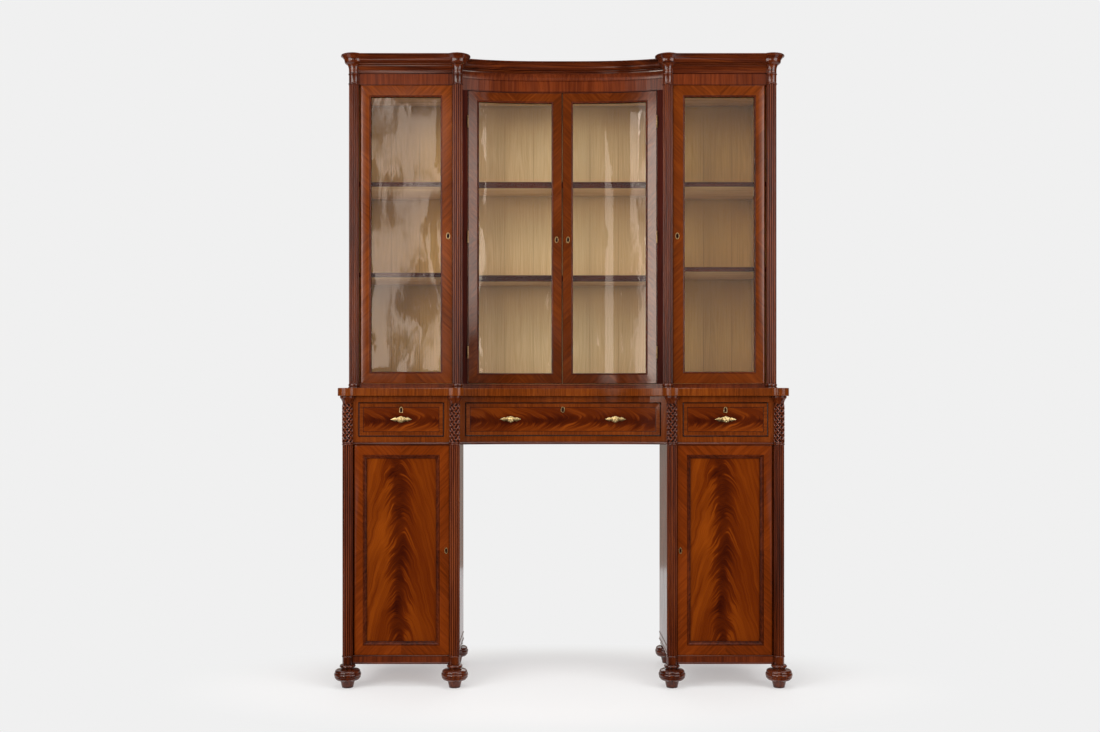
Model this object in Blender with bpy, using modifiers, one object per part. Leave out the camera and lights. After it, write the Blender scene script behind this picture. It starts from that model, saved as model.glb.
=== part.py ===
"""A mahogany bookcase: two pedestals, a drawer section over a kneehole and a glazed upper part.

Metres, +Z up, front towards -Y, origin on the floor under the middle of the object. The two wings
stand forward of a hollow centre, and reeded three-quarter columns stand on their front corners.
"""

import math

import bmesh
import bpy
from mathutils import Vector

OBJECT_NAME = "bookcase"

# Fits: pieces that touch stand a hair apart, doors and drawers run with more, and a cutter
# reaches past the face that it opens.
GAP = 0.0003
DOOR_GAP = 0.0010
DRAWER_GAP = 0.0010
OVERRUN = 0.010
MERGE = 0.000001
SMOOTH_ANGLE = math.radians(35)

# Plan of the hollow centre, which is nearly flat in the middle and quickens at its ends, where a
# fixed strip stands between the doors and the wings.
CENTRE_HALF_WIDTH = 0.374
CENTRE_STRIP = 0.0345
RECESS = 0.105
RECESS_RISE = 0.0365
RECESS_POWER = 3
HALF_HOLLOW_STEPS = 9

# Plan of the wings. A column's centre line stands on each front corner.
WING_SPAN = 0.4025
LOWER_DEPTH = 0.470
UPPER_SETBACK = 0.146
COLUMN_RADIUS = 0.0195
SIDE_MARGIN = 0.0005
BACK_BOARD = 0.008

# Heights, from the floor up.
FOOT_HEIGHT = 0.0865
BASE_RAIL_HEIGHT = 0.033
PEDESTAL_DOOR_SPACE = 0.7905
PEDESTAL_TOP_BOARD = 0.018
DRAWER_SECTION_HEIGHT = 0.1845
BOARD_THICKNESS = 0.030
UPPER_RAIL_HEIGHT = 0.0195
UPPER_DOOR_SPACE = 1.160
FRIEZE_HEIGHT = 0.044
CORNICE_HEIGHT = 0.069

# Feet: a bun over a spreading stem, under a bead.
BUN_RADIUS = 0.0505
BACK_FOOT_INSET = 0.0275
FOOT_STEPS = 16
# Each row is a share of the bun's radius and a share of the foot's height, top to bottom.
FOOT_PROFILE_SHARES = (
    (0.43, 1.00),
    (0.59, 0.92),
    (0.46, 0.83),
    (0.70, 0.775),
    (0.91, 0.70),
    (1.00, 0.60),
    (1.00, 0.52),
    (0.93, 0.41),
    (0.78, 0.33),
    (0.54, 0.285),
    (0.44, 0.16),
    (0.39, 0.00),
)

# Columns.
REED_COUNT = 11
REED_POINTS = 3
REED_DEPTH = 0.0014
PLAIN_STEPS = 18
COLLAR_LEAD = 0.0022
COLLAR_HEIGHT = 0.006
COLLAR_BEVEL = 0.0012
ROPE_CAP_HEIGHT = 0.028
ROPE_CAP_LEAD = 0.009
# Each row is a share of the rope column's cap height and a share of how far the cap spreads.
ROPE_CAP_SHARES = ((0.0, 0.0), (0.30, 0.07), (0.58, 0.26), (0.80, 0.58), (0.92, 0.92), (1.0, 1.0))

# Drawer section.
ASTRAGAL_HEIGHT = 0.010
ASTRAGAL_PROJECTION = 0.0045
# Each row is a share of the astragal's height and a share of its projection there.
ASTRAGAL_PROFILE_SHARES = ((0.0, 0.55), (0.25, 1.0), (0.65, 1.0), (0.9, 0.55), (1.0, 0.0))
DRAWER_SILL = 0.031
DRAWER_OPENING_HEIGHT = 0.130
SMALL_DRAWER_WIDTH = 0.3225
DRAWER_CASE_BACK = 0.015
DRAWER_STOP = 0.020
DRAWER_FRONT = 0.020
DRAWER_SIDE = 0.010
DRAWER_BOTTOM = 0.009

# Waist board, which breaks round each column.
BOARD_OVERHANG = 0.028
BREAK_LEAD = 0.009
BREAK_STEPS = 8

# Cornice: projection at the top, and how much further it reaches round each column.
CORNICE_PROJECTION = 0.040
CAPITAL_LEAD = 0.010
# Each row is a share of the cornice's height, a share of its projection there and a share of how
# far a capital has spread there.
CORNICE_PROFILE_SHARES = (
    (0.00, 0.00, 0.00),
    (0.17, 0.07, 0.02),
    (0.36, 0.30, 0.06),
    (0.47, 0.45, 0.40),
    (0.58, 0.68, 0.62),
    (0.80, 0.86, 0.85),
    (0.86, 1.00, 0.98),
    (1.00, 1.00, 1.00),
)

# Doors.
DOOR_THICKNESS = 0.022
REBATE_WIDTH = 0.006
REBATE_DEPTH = 0.012
GLASS_THICKNESS = 0.003
PANEL_THICKNESS = 0.010
WING_FRAME_WIDTH = 0.046
CENTRE_FRAME_WIDTH = 0.043
PEDESTAL_FRAME_WIDTH = 0.036
PANEL_MOULDING = 0.014
EDGE_STEPS = 8
PIN_RADIUS = 0.003
PIN_LENGTH = 0.006
PIN_CLEARANCE = 0.0006
PIN_STEPS = 12

# Butt hinges of the centre doors.
MEETING_GAP = 0.0010
MEETING_BEVEL = 0.0035
KNUCKLE_RADIUS = 0.0035
KNUCKLE_LEAD = 0.0005
KNUCKLE_STEPS = 12
HINGE_LENGTH = 0.048
HINGE_FROM_END = 0.125
HINGE_WEB = 0.003

# Shelves. Their heights are measured up from the floor of the glazed part.
WING_SHELF_THICKNESS = 0.018
CENTRE_SHELF_THICKNESS = 0.025
SHELF_BEHIND_DOOR = 0.014
WING_SHELF_HEIGHTS = {"left": {"lower": 0.417, "upper": 0.772}, "right": {"lower": 0.439, "upper": 0.772}}
CENTRE_SHELF_HEIGHTS = {"lower": 0.412, "upper": 0.786}

# Handles: a pierced-looking leaf plate and a turned rosette knob.
PLATE_HALF_WIDTH = 0.037
PLATE_HALF_HEIGHT = 0.0085
PLATE_THICKNESS = 0.0025
KNOB_RADIUS = 0.0125
KNOB_REACH = 0.022
KNOB_STEPS = 16
HANDLE_HEIGHT_SHARE = 0.50
CENTRE_HANDLE_X = 0.202
# One quarter of the plate's outline, as shares of its half width and half height.
PLATE_QUARTER_SHARES = ((1.0, 0.0), (0.80, 0.42), (0.58, 0.80), (0.44, 0.62), (0.30, 1.0))
# Each row is a share of the knob's radius and a share of its reach, outer end first.
KNOB_PROFILE_SHARES = (
    (0.00, 1.00),
    (0.40, 0.95),
    (0.55, 0.85),
    (0.90, 0.80),
    (1.00, 0.68),
    (0.85, 0.55),
    (0.40, 0.42),
    (0.36, 0.15),
    (0.50, 0.00),
    (0.00, 0.00),
)

# Levels and faces that follow from the sizes above.
BASE_TOP = FOOT_HEIGHT + BASE_RAIL_HEIGHT
PEDESTAL_TOP = BASE_TOP + PEDESTAL_DOOR_SPACE
SECTION_TOP = PEDESTAL_TOP + DRAWER_SECTION_HEIGHT
BOARD_TOP = SECTION_TOP + BOARD_THICKNESS
GLAZED_BOTTOM = BOARD_TOP + UPPER_RAIL_HEIGHT
GLAZED_TOP = GLAZED_BOTTOM + UPPER_DOOR_SPACE
FRIEZE_TOP = GLAZED_TOP + FRIEZE_HEIGHT
OBJECT_TOP = FRIEZE_TOP + CORNICE_HEIGHT
DRAWER_LOW = PEDESTAL_TOP + DRAWER_SILL
DRAWER_HIGH = DRAWER_LOW + DRAWER_OPENING_HEIGHT
LOWER_FRONT_Y = BUN_RADIUS - (BUN_RADIUS + LOWER_DEPTH) / 2
UPPER_FRONT_Y = LOWER_FRONT_Y + UPPER_SETBACK
BACK_Y = LOWER_FRONT_Y + LOWER_DEPTH
INNER_AXIS_X = CENTRE_HALF_WIDTH + CENTRE_STRIP
OUTER_AXIS_X = INNER_AXIS_X + WING_SPAN
SIDE_THICKNESS = COLUMN_RADIUS + SIDE_MARGIN
BAY_INNER_X = INNER_AXIS_X + SIDE_THICKNESS
BAY_OUTER_X = OUTER_AXIS_X - SIDE_THICKNESS
WING_MIDDLE_X = (INNER_AXIS_X + OUTER_AXIS_X) / 2
COLLAR_RADIUS = COLUMN_RADIUS + COLLAR_LEAD
CAPITAL_RADIUS = CORNICE_PROJECTION + CAPITAL_LEAD
DRAWER_BACK_Y = BACK_Y - DRAWER_CASE_BACK
EDGE_RADIUS = DOOR_THICKNESS / 2
PIN_AXIS_X = BAY_OUTER_X - DOOR_GAP - EDGE_RADIUS

SIDES = {"left": -1, "right": 1}
COLUMN_PLACES = {"outer": (OUTER_AXIS_X, -1), "inner": (INNER_AXIS_X, 1)}


def clear_scene():
    """Removes every object, so that only the bookcase is left."""
    for obj in list(bpy.data.objects):
        bpy.data.objects.remove(obj, do_unlink=True)


def add_collection(name):
    """Returns a new collection under the scene's own."""
    collection = bpy.data.collections.new(name)
    bpy.context.scene.collection.children.link(collection)
    return collection


def principled(name, colour, roughness, metallic=0.0, transmission=0.0):
    """Returns a material with one Principled shader."""
    material = bpy.data.materials.new(name)
    material.use_nodes = True
    shader = material.node_tree.nodes["Principled BSDF"]
    shader.inputs["Base Color"].default_value = (*colour, 1.0)
    shader.inputs["Roughness"].default_value = roughness
    shader.inputs["Metallic"].default_value = metallic
    shader.inputs["Transmission Weight"].default_value = transmission
    return material


def mahogany_case_material():
    """Straight-grained red mahogany of the carcases."""
    return principled("mahogany_case", (0.150, 0.036, 0.012), 0.32)


def mahogany_frame_material():
    """Cross-grained mahogany of frames, rails and drawer fronts."""
    return principled("mahogany_frame", (0.185, 0.046, 0.014), 0.30)


def mahogany_turned_material():
    """Dark mahogany of the columns and feet."""
    return principled("mahogany_turned", (0.085, 0.022, 0.010), 0.28)


def mahogany_flame_material():
    """Figured mahogany of the pedestal door panels."""
    return principled("mahogany_flame", (0.230, 0.058, 0.015), 0.28)


def pale_wood_material():
    """Pale softwood of the backs inside."""
    return principled("pale_wood", (0.480, 0.370, 0.220), 0.55)


def shelf_material():
    """Shelf wood with a mahogany front edge."""
    return principled("shelf_wood", (0.200, 0.090, 0.040), 0.45)


def glass_material():
    """Old clear window glass."""
    return principled("old_glass", (0.95, 0.97, 0.95), 0.03, transmission=1.0)


def brass_material():
    """Lacquered brass of the handles."""
    return principled("brass", (0.720, 0.500, 0.200), 0.28, metallic=1.0)


def mesh_object(name, mesh_builder, collection, material=None):
    """Makes an object from a finished bmesh, with its faces turned outwards."""
    bmesh.ops.remove_doubles(mesh_builder, verts=mesh_builder.verts, dist=MERGE)
    bmesh.ops.recalc_face_normals(mesh_builder, faces=mesh_builder.faces)
    mesh = bpy.data.meshes.new(name)
    mesh_builder.to_mesh(mesh)
    mesh_builder.free()
    if material:
        mesh.materials.append(material)
    obj = bpy.data.objects.new(name, mesh)
    collection.objects.link(obj)
    return obj


def smooth(obj):
    """Shades the round pieces smooth and leaves their edges crisp."""
    obj.data.shade_smooth()
    obj.data.set_sharp_from_angle(angle=SMOOTH_ANGLE)


def box(name, low, high, collection, material=None):
    """A box between two corners, which may be given in any order."""
    low = Vector(low)
    high = Vector(high)
    mesh_builder = bmesh.new()
    bmesh.ops.create_cube(mesh_builder, size=1)
    size = Vector(abs(b - a) for a, b in zip(low, high))
    bmesh.ops.scale(mesh_builder, vec=size, verts=mesh_builder.verts)
    bmesh.ops.translate(mesh_builder, vec=(low + high) / 2, verts=mesh_builder.verts)
    return mesh_object(name, mesh_builder, collection, material)


def loft(name, rings, collection, material=None):
    """A solid through rings of points that match one to one, closed at both ends."""
    mesh_builder = bmesh.new()
    loops = [[mesh_builder.verts.new(point) for point in ring] for ring in rings]
    for lower, upper in zip(loops, loops[1:]):
        for index in range(len(lower)):
            following = (index + 1) % len(lower)
            corners = (lower[index], lower[following], upper[following], upper[index])
            mesh_builder.faces.new(corners)
    mesh_builder.faces.new(reversed(loops[0]))
    mesh_builder.faces.new(loops[-1])
    return mesh_object(name, mesh_builder, collection, material)


def prism(name, outline, bottom, top, collection, material=None):
    """An upright solid over an outline in plan."""
    rings = [[(x, y, level) for x, y in outline] for level in (bottom, top)]
    return loft(name, rings, collection, material)


def cylinder(name, centre, radius, bottom, top, steps, collection, material=None):
    """An upright cylinder."""
    mesh_builder = bmesh.new()
    bmesh.ops.create_cone(
        mesh_builder,
        cap_ends=True,
        segments=steps,
        radius1=radius,
        radius2=radius,
        depth=top - bottom,
    )
    middle = Vector((*centre, (bottom + top) / 2))
    bmesh.ops.translate(mesh_builder, vec=middle, verts=mesh_builder.verts)
    return mesh_object(name, mesh_builder, collection, material)


def turned(name, profile, place, steps, collection, material=None):
    """A turned solid about a vertical axis. The profile runs down its outer side."""
    mesh_builder = bmesh.new()
    points = [mesh_builder.verts.new((radius, 0, height)) for radius, height in profile]
    for upper, lower in zip(points, points[1:]):
        mesh_builder.edges.new((upper, lower))
    mesh = bpy.data.meshes.new(name)
    mesh_builder.to_mesh(mesh)
    mesh_builder.free()
    if material:
        mesh.materials.append(material)
    obj = bpy.data.objects.new(name, mesh)
    collection.objects.link(obj)
    obj.location = place
    screw = obj.modifiers.new("turning", "SCREW")
    screw.axis = "Z"
    screw.steps = steps
    screw.render_steps = steps
    screw.use_merge_vertices = True
    screw.merge_threshold = MERGE
    screw.use_smooth_shade = True
    return obj


def hide_helper(obj, cutters):
    """Keeps a cutter or a joined shape out of the render."""
    for collection in list(obj.users_collection):
        collection.objects.unlink(obj)
    cutters.objects.link(obj)
    obj.hide_render = True
    obj.display_type = "WIRE"


def combine(target, helper, operation, cutters):
    """Adds one Boolean to the target and hides its helper."""
    hide_helper(helper, cutters)
    boolean = target.modifiers.new(helper.name, "BOOLEAN")
    boolean.operation = operation
    boolean.object = helper
    boolean.solver = "EXACT"


def cut(target, helper, cutters):
    """Takes the helper's shape out of the target."""
    combine(target, helper, "DIFFERENCE", cutters)


def join(target, helper, cutters):
    """Adds the helper's shape to the target."""
    combine(target, helper, "UNION", cutters)


def add_axis(name, place, collection):
    """An empty on a joint's axis, which carries what moves."""
    empty = bpy.data.objects.new(name, None)
    empty.location = place
    collection.objects.link(empty)
    return empty


def hang(obj, axis):
    """Moves an object's origin to its joint's axis and parents it there."""
    for vertex in obj.data.vertices:
        vertex.co += obj.location - axis.location
    obj.location = (0, 0, 0)
    obj.parent = axis


def hollow_y(x, front_y):
    """Where the hollow centre's face stands behind the wings' front, at a distance x from the middle."""
    return front_y + RECESS - RECESS_RISE * abs(x / CENTRE_HALF_WIDTH) ** RECESS_POWER


def hollow_line(start_x, end_x, front_y, behind=0.0, steps=HALF_HOLLOW_STEPS):
    """Points along the hollow face, or along a line that stands behind it."""
    points = []
    for index in range(steps + 1):
        x = start_x + (end_x - start_x) * index / steps
        points.append((x, hollow_y(x, front_y) + behind))
    return points


def whole_hollow_line(end_x, front_y, behind=0.0):
    """Points along the hollow face from end to end, with one straight piece past each door."""
    half = CENTRE_HALF_WIDTH
    points = hollow_line(-half, half, front_y, behind, 2 * HALF_HOLLOW_STEPS)
    end_y = hollow_y(end_x, front_y) + behind
    return [(-end_x, end_y), *points, (end_x, end_y)]


def arc(centre, radius, start, end, steps):
    """Points of an arc in plan, with both ends."""
    points = []
    for index in range(steps + 1):
        angle = start + (end - start) * index / steps
        points.append((centre[0] + radius * math.cos(angle), centre[1] + radius * math.sin(angle)))
    return points


def mirrored(points):
    """The same outline on the other side of the middle, in the order that goes on round."""
    return [(-x, y) for x, y in reversed(points)]


def three_quarter_ring(level, radius, reed_depth, steps):
    """A three-quarter section, open towards the corner at +X and +Y that it covers."""
    notch = math.asin(GAP / radius)
    start = math.pi / 2 + notch
    end = math.tau - notch
    points = []
    for index in range(steps + 1):
        share = index / steps
        angle = start + (end - start) * share
        reach = radius - reed_depth * (1 - abs(math.sin(math.pi * share * REED_COUNT)))
        points.append((reach * math.cos(angle), reach * math.sin(angle), level))
    points.append((-GAP, -GAP, level))
    return points


def reeded_ring(level, radius, reed_depth=0.0):
    """A section with a point in each hollow between reeds, whether it is reeded or not."""
    return three_quarter_ring(level, radius, reed_depth, REED_COUNT * REED_POINTS)


def plain_ring(level, radius):
    """A smooth section of few points."""
    return three_quarter_ring(level, radius, 0, PLAIN_STEPS)


def collar_rings(ring, bottom, top):
    """Four sections of a collar with bevelled edges, from the shaft below to the shaft above."""
    return [
        ring(bottom, COLUMN_RADIUS),
        ring(bottom + COLLAR_BEVEL, COLLAR_RADIUS),
        ring(top - COLLAR_BEVEL, COLLAR_RADIUS),
        ring(top, COLUMN_RADIUS),
    ]


def column(name, rings, place, facing, collection, material):
    """Stands a column on a corner. Facing is the direction of the case from its axis, along X."""
    placed = [[(place[0] + facing * x, place[1] + y, z) for x, y, z in ring] for ring in rings]
    obj = loft(name, placed, collection, material)
    smooth(obj)
    return obj


def lower_column_rings():
    """Reeded shaft over a plain drum with a collar."""
    return [
        reeded_ring(FOOT_HEIGHT, COLUMN_RADIUS),
        *collar_rings(reeded_ring, BASE_TOP - COLLAR_HEIGHT, BASE_TOP),
        reeded_ring(BASE_TOP + COLLAR_BEVEL, COLUMN_RADIUS, REED_DEPTH),
        reeded_ring(PEDESTAL_TOP - GAP, COLUMN_RADIUS, REED_DEPTH),
    ]


def rope_column_rings():
    """Plain shaft of the rope-carved column, on its collar and under its spreading cap."""
    top = SECTION_TOP - GAP
    rings = collar_rings(plain_ring, PEDESTAL_TOP, PEDESTAL_TOP + ASTRAGAL_HEIGHT)
    for height_share, spread_share in ROPE_CAP_SHARES:
        level = top - ROPE_CAP_HEIGHT * (1 - height_share)
        rings.append(plain_ring(level, COLUMN_RADIUS + ROPE_CAP_LEAD * spread_share))
    return rings


def upper_column_rings():
    """Reeded shaft between a foot collar and a plain necking."""
    top = FRIEZE_TOP - GAP
    return [
        *collar_rings(reeded_ring, BOARD_TOP + GAP, GLAZED_BOTTOM),
        reeded_ring(GLAZED_BOTTOM + COLLAR_BEVEL, COLUMN_RADIUS, REED_DEPTH),
        reeded_ring(GLAZED_TOP - COLLAR_BEVEL, COLUMN_RADIUS, REED_DEPTH),
        *collar_rings(reeded_ring, GLAZED_TOP, GLAZED_TOP + COLLAR_HEIGHT),
        *collar_rings(reeded_ring, top - COLLAR_HEIGHT, top),
    ]


def build_columns(collection, material):
    """Four columns at each of the three levels."""
    kinds = {
        "lower_column": (lower_column_rings(), LOWER_FRONT_Y),
        "rope_column": (rope_column_rings(), LOWER_FRONT_Y),
        "upper_column": (upper_column_rings(), UPPER_FRONT_Y),
    }
    for kind, (rings, front_y) in kinds.items():
        for side, sign in SIDES.items():
            for where, (axis_x, turn) in COLUMN_PLACES.items():
                name = f"{kind}_{where}_{side}"
                place = (sign * axis_x, front_y)
                column(name, rings, place, sign * turn, collection, material)


def build_feet(collection, material):
    """Eight turned bun feet: four under the columns and four inset at the back."""
    profile = [(0, FOOT_HEIGHT - GAP)]
    for radius_share, height_share in FOOT_PROFILE_SHARES:
        profile.append((radius_share * BUN_RADIUS, height_share * (FOOT_HEIGHT - GAP)))
    profile.append((0, 0))
    back_y = BACK_Y - BUN_RADIUS
    places = {
        "front_foot_outer": (OUTER_AXIS_X, LOWER_FRONT_Y),
        "front_foot_inner": (INNER_AXIS_X, LOWER_FRONT_Y),
        "back_foot_outer": (OUTER_AXIS_X - BACK_FOOT_INSET, back_y),
        "back_foot_inner": (INNER_AXIS_X + BACK_FOOT_INSET, back_y),
    }
    for side, sign in SIDES.items():
        for kind, (x, y) in places.items():
            turned(f"{kind}_{side}", profile, (sign * x, y, 0), FOOT_STEPS, collection, material)


def build_pedestal_case(side, sign, collection, cutters, material):
    """A pedestal's sides, bottom and top, with room in front for the door."""
    name = f"pedestal_case_{side}"
    low = (sign * INNER_AXIS_X, LOWER_FRONT_Y, FOOT_HEIGHT)
    high = (sign * OUTER_AXIS_X, BACK_Y, PEDESTAL_TOP - GAP)
    case = box(name, low, high, collection, material)
    front = LOWER_FRONT_Y - OVERRUN
    cupboard = box(
        f"{name}_cupboard",
        (sign * BAY_INNER_X, front, BASE_TOP),
        (sign * BAY_OUTER_X, BACK_Y + OVERRUN, PEDESTAL_TOP - PEDESTAL_TOP_BOARD),
        cutters,
    )
    cut(case, cupboard, cutters)
    doorway = box(
        f"{name}_doorway",
        (sign * BAY_INNER_X, front, BASE_TOP),
        (sign * BAY_OUTER_X, LOWER_FRONT_Y + DOOR_THICKNESS + DOOR_GAP, PEDESTAL_TOP + OVERRUN),
        cutters,
    )
    cut(case, doorway, cutters)
    bore_pin_hole(case, sign, LOWER_FRONT_Y, BASE_TOP, cutters)


def build_wing_case(side, sign, collection, cutters, material):
    """An upper wing's sides, bottom and top, with its base rail and frieze."""
    name = f"wing_case_{side}"
    low = (sign * INNER_AXIS_X, UPPER_FRONT_Y, BOARD_TOP + GAP)
    high = (sign * OUTER_AXIS_X, BACK_Y, FRIEZE_TOP - GAP)
    case = box(name, low, high, collection, material)
    bay = box(
        f"{name}_bay",
        (sign * BAY_INNER_X, UPPER_FRONT_Y - OVERRUN, GLAZED_BOTTOM),
        (sign * BAY_OUTER_X, BACK_Y + OVERRUN, GLAZED_TOP),
        cutters,
    )
    cut(case, bay, cutters)
    bore_pin_hole(case, sign, UPPER_FRONT_Y, GLAZED_BOTTOM, cutters)
    bore_pin_hole(case, sign, UPPER_FRONT_Y, GLAZED_TOP, cutters)


def bore_pin_hole(case, sign, front_y, level, cutters):
    """A blind hole above or below a level, for the pin on a door's edge."""
    centre = (sign * PIN_AXIS_X, front_y + EDGE_RADIUS)
    depth = PIN_LENGTH + PIN_CLEARANCE
    radius = PIN_RADIUS + PIN_CLEARANCE
    name = f"{case.name}_pin_hole_{len(case.modifiers)}"
    hole = cylinder(name, centre, radius, level - depth, level + depth, PIN_STEPS, cutters)
    cut(case, hole, cutters)


def build_centre_case(collection, cutters, material):
    """The hollow centre's sides, bottom and top, with its base rail and frieze."""
    half = INNER_AXIS_X - GAP
    outline = [(-half, BACK_Y), *whole_hollow_line(half, UPPER_FRONT_Y), (half, BACK_Y)]
    case = prism(
        "centre_case", outline, BOARD_TOP + GAP, FRIEZE_TOP - GAP, collection, material
    )
    bay = box(
        "centre_case_bay",
        (-CENTRE_HALF_WIDTH, UPPER_FRONT_Y - OVERRUN, GLAZED_BOTTOM),
        (CENTRE_HALF_WIDTH, BACK_Y + OVERRUN, GLAZED_TOP),
        cutters,
    )
    cut(case, bay, cutters)


def build_backs(collection, material):
    """Back boards let in between the sides of each case."""
    front = BACK_Y - BACK_BOARD
    bays = {"centre_back": (-CENTRE_HALF_WIDTH, CENTRE_HALF_WIDTH, GLAZED_BOTTOM, GLAZED_TOP)}
    for side, sign in SIDES.items():
        near, far = sorted((sign * BAY_INNER_X, sign * BAY_OUTER_X))
        bays[f"wing_back_{side}"] = (near, far, GLAZED_BOTTOM, GLAZED_TOP)
        cupboard_top = PEDESTAL_TOP - PEDESTAL_TOP_BOARD
        bays[f"pedestal_back_{side}"] = (near, far, BASE_TOP, cupboard_top)
    for name, (near, far, bottom, top) in bays.items():
        low = (near + GAP, front, bottom + GAP)
        high = (far - GAP, BACK_Y, top - GAP)
        box(name, low, high, collection, material)


def build_shelves(collection, material):
    """Two shelves in each of the three glazed bays."""
    back = BACK_Y - BACK_BOARD - GAP
    behind_door = DOOR_THICKNESS + SHELF_BEHIND_DOOR
    for side, sign in SIDES.items():
        near, far = sorted((sign * BAY_INNER_X, sign * BAY_OUTER_X))
        for level, height in WING_SHELF_HEIGHTS[side].items():
            bottom = GLAZED_BOTTOM + height
            low = (near + GAP, UPPER_FRONT_Y + behind_door, bottom)
            high = (far - GAP, back, bottom + WING_SHELF_THICKNESS)
            box(f"wing_shelf_{level}_{side}", low, high, collection, material)
    for level, height in CENTRE_SHELF_HEIGHTS.items():
        bottom = GLAZED_BOTTOM + height
        half = CENTRE_HALF_WIDTH - GAP
        low = (-half, UPPER_FRONT_Y + RECESS + behind_door, bottom)
        high = (half, back, bottom + CENTRE_SHELF_THICKNESS)
        box(f"centre_shelf_{level}", low, high, collection, material)


def section_outline(projection):
    """The drawer section in plan. A moulding that stands out of it stops at the column collars."""
    stop = COLLAR_RADIUS + GAP
    front = LOWER_FRONT_Y
    left = [
        (-OUTER_AXIS_X - projection, BACK_Y),
        (-OUTER_AXIS_X - projection, front + stop),
        (-OUTER_AXIS_X, front + stop),
        (-OUTER_AXIS_X, front),
        (-OUTER_AXIS_X + stop, front),
        (-OUTER_AXIS_X + stop, front - projection),
        (-INNER_AXIS_X - stop, front - projection),
        (-INNER_AXIS_X - stop, front),
        (-INNER_AXIS_X, front),
        (-INNER_AXIS_X, front + stop),
        (-INNER_AXIS_X + projection, front + stop),
    ]
    end_x = INNER_AXIS_X - projection
    return left + whole_hollow_line(end_x, front, -projection) + mirrored(left)


def build_drawer_case(collection, cutters, material):
    """The section that spans both pedestals and the kneehole and holds the three drawers."""
    rings = []
    for height_share, reach_share in ASTRAGAL_PROFILE_SHARES:
        level = PEDESTAL_TOP + ASTRAGAL_HEIGHT * height_share
        outline = section_outline(ASTRAGAL_PROJECTION * reach_share)
        rings.append([(x, y, level) for x, y in outline])
    rings.append([(x, y, SECTION_TOP - GAP) for x, y in section_outline(0)])
    case = loft("drawer_case", rings, collection, material)
    spaces = {"centre": (-CENTRE_HALF_WIDTH, CENTRE_HALF_WIDTH)}
    for side, sign in SIDES.items():
        middle = sign * WING_MIDDLE_X
        spaces[side] = (middle - SMALL_DRAWER_WIDTH / 2, middle + SMALL_DRAWER_WIDTH / 2)
        bore_pin_hole(case, sign, LOWER_FRONT_Y, PEDESTAL_TOP, cutters)
    for name, (near, far) in spaces.items():
        low = (near, LOWER_FRONT_Y - OVERRUN, DRAWER_LOW)
        high = (far, DRAWER_BACK_Y, DRAWER_HIGH)
        cut(case, box(f"drawer_case_{name}_space", low, high, cutters), cutters)


def board_outline():
    """The waist board in plan, with a round break at each column."""
    radius = BOARD_OVERHANG + BREAK_LEAD
    meet = math.acos(BOARD_OVERHANG / radius)
    front = LOWER_FRONT_Y
    half_pi = math.pi / 2
    outer = arc((-OUTER_AXIS_X, front), radius, math.pi - meet, 3 * half_pi + meet, BREAK_STEPS)
    inner = arc((-INNER_AXIS_X, front), radius, 3 * half_pi - meet, math.tau + meet, BREAK_STEPS)
    left = [(-OUTER_AXIS_X - BOARD_OVERHANG, BACK_Y), *outer, *inner]
    end_x = INNER_AXIS_X - BOARD_OVERHANG
    return left + whole_hollow_line(end_x, front, -BOARD_OVERHANG) + mirrored(left)


def build_waist_board(collection, material):
    """The board between the drawer section and the glazed part."""
    prism("waist_board", board_outline(), SECTION_TOP, BOARD_TOP, collection, material)


def capital_radius(spread_share):
    """Radius of the cornice's break round a column, at a share of how far it spreads."""
    return COLLAR_RADIUS + (CAPITAL_RADIUS - COLLAR_RADIUS) * spread_share


def wing_cornice_ring(level, overhang, radius, sign):
    """A wing's cornice in plan at one level, drawn for the left wing and turned for the right."""
    meet = math.acos(overhang / radius)
    front = UPPER_FRONT_Y
    half_pi = math.pi / 2
    inner_end = math.tau + half_pi
    outer = arc((-OUTER_AXIS_X, front), radius, math.pi - meet, 3 * half_pi + meet, BREAK_STEPS)
    inner = arc((-INNER_AXIS_X, front), radius, 3 * half_pi - meet, inner_end, BREAK_STEPS)
    points = [(-OUTER_AXIS_X - overhang, BACK_Y), *outer, *inner, (-INNER_AXIS_X, BACK_Y)]
    return [(-sign * x, y, level) for x, y in points]


def cornice_levels():
    """Height, overhang and capital's radius of each ring of the cornice."""
    levels = []
    for height_share, reach_share, spread_share in CORNICE_PROFILE_SHARES:
        level = FRIEZE_TOP + CORNICE_HEIGHT * height_share
        overhang = CORNICE_PROJECTION * reach_share
        levels.append((level, overhang, capital_radius(spread_share)))
    return levels


def build_wing_cornice(side, sign, collection, material):
    """A wing's moulded cornice, which swells into a capital over each column."""
    rings = [wing_cornice_ring(*level, sign) for level in cornice_levels()]
    cornice = loft(f"wing_cornice_{side}", rings, collection, material)
    smooth(cornice)


def build_centre_cornice(collection, cutters, material):
    """The hollow centre's cornice, cut to the capitals that it runs up to."""
    half = INNER_AXIS_X - GAP
    rings = []
    for level, overhang, _ in cornice_levels():
        front = whole_hollow_line(half, UPPER_FRONT_Y, -overhang)
        outline = [(-half, BACK_Y), *front, (half, BACK_Y)]
        rings.append([(x, y, level) for x, y in outline])
    cornice = loft("centre_cornice", rings, collection, material)
    profile = [(0, OBJECT_TOP + OVERRUN), (CAPITAL_RADIUS + DOOR_GAP, OBJECT_TOP + OVERRUN)]
    for level, _, radius in reversed(cornice_levels()):
        profile.append((radius + DOOR_GAP, level))
    profile.append((COLLAR_RADIUS + DOOR_GAP, FRIEZE_TOP - OVERRUN))
    profile.append((0, FRIEZE_TOP - OVERRUN))
    for side, sign in SIDES.items():
        place = (sign * INNER_AXIS_X, UPPER_FRONT_Y, 0)
        capital = turned(f"centre_cornice_{side}_capital", profile, place, FOOT_STEPS, cutters)
        cut(cornice, capital, cutters)


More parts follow.
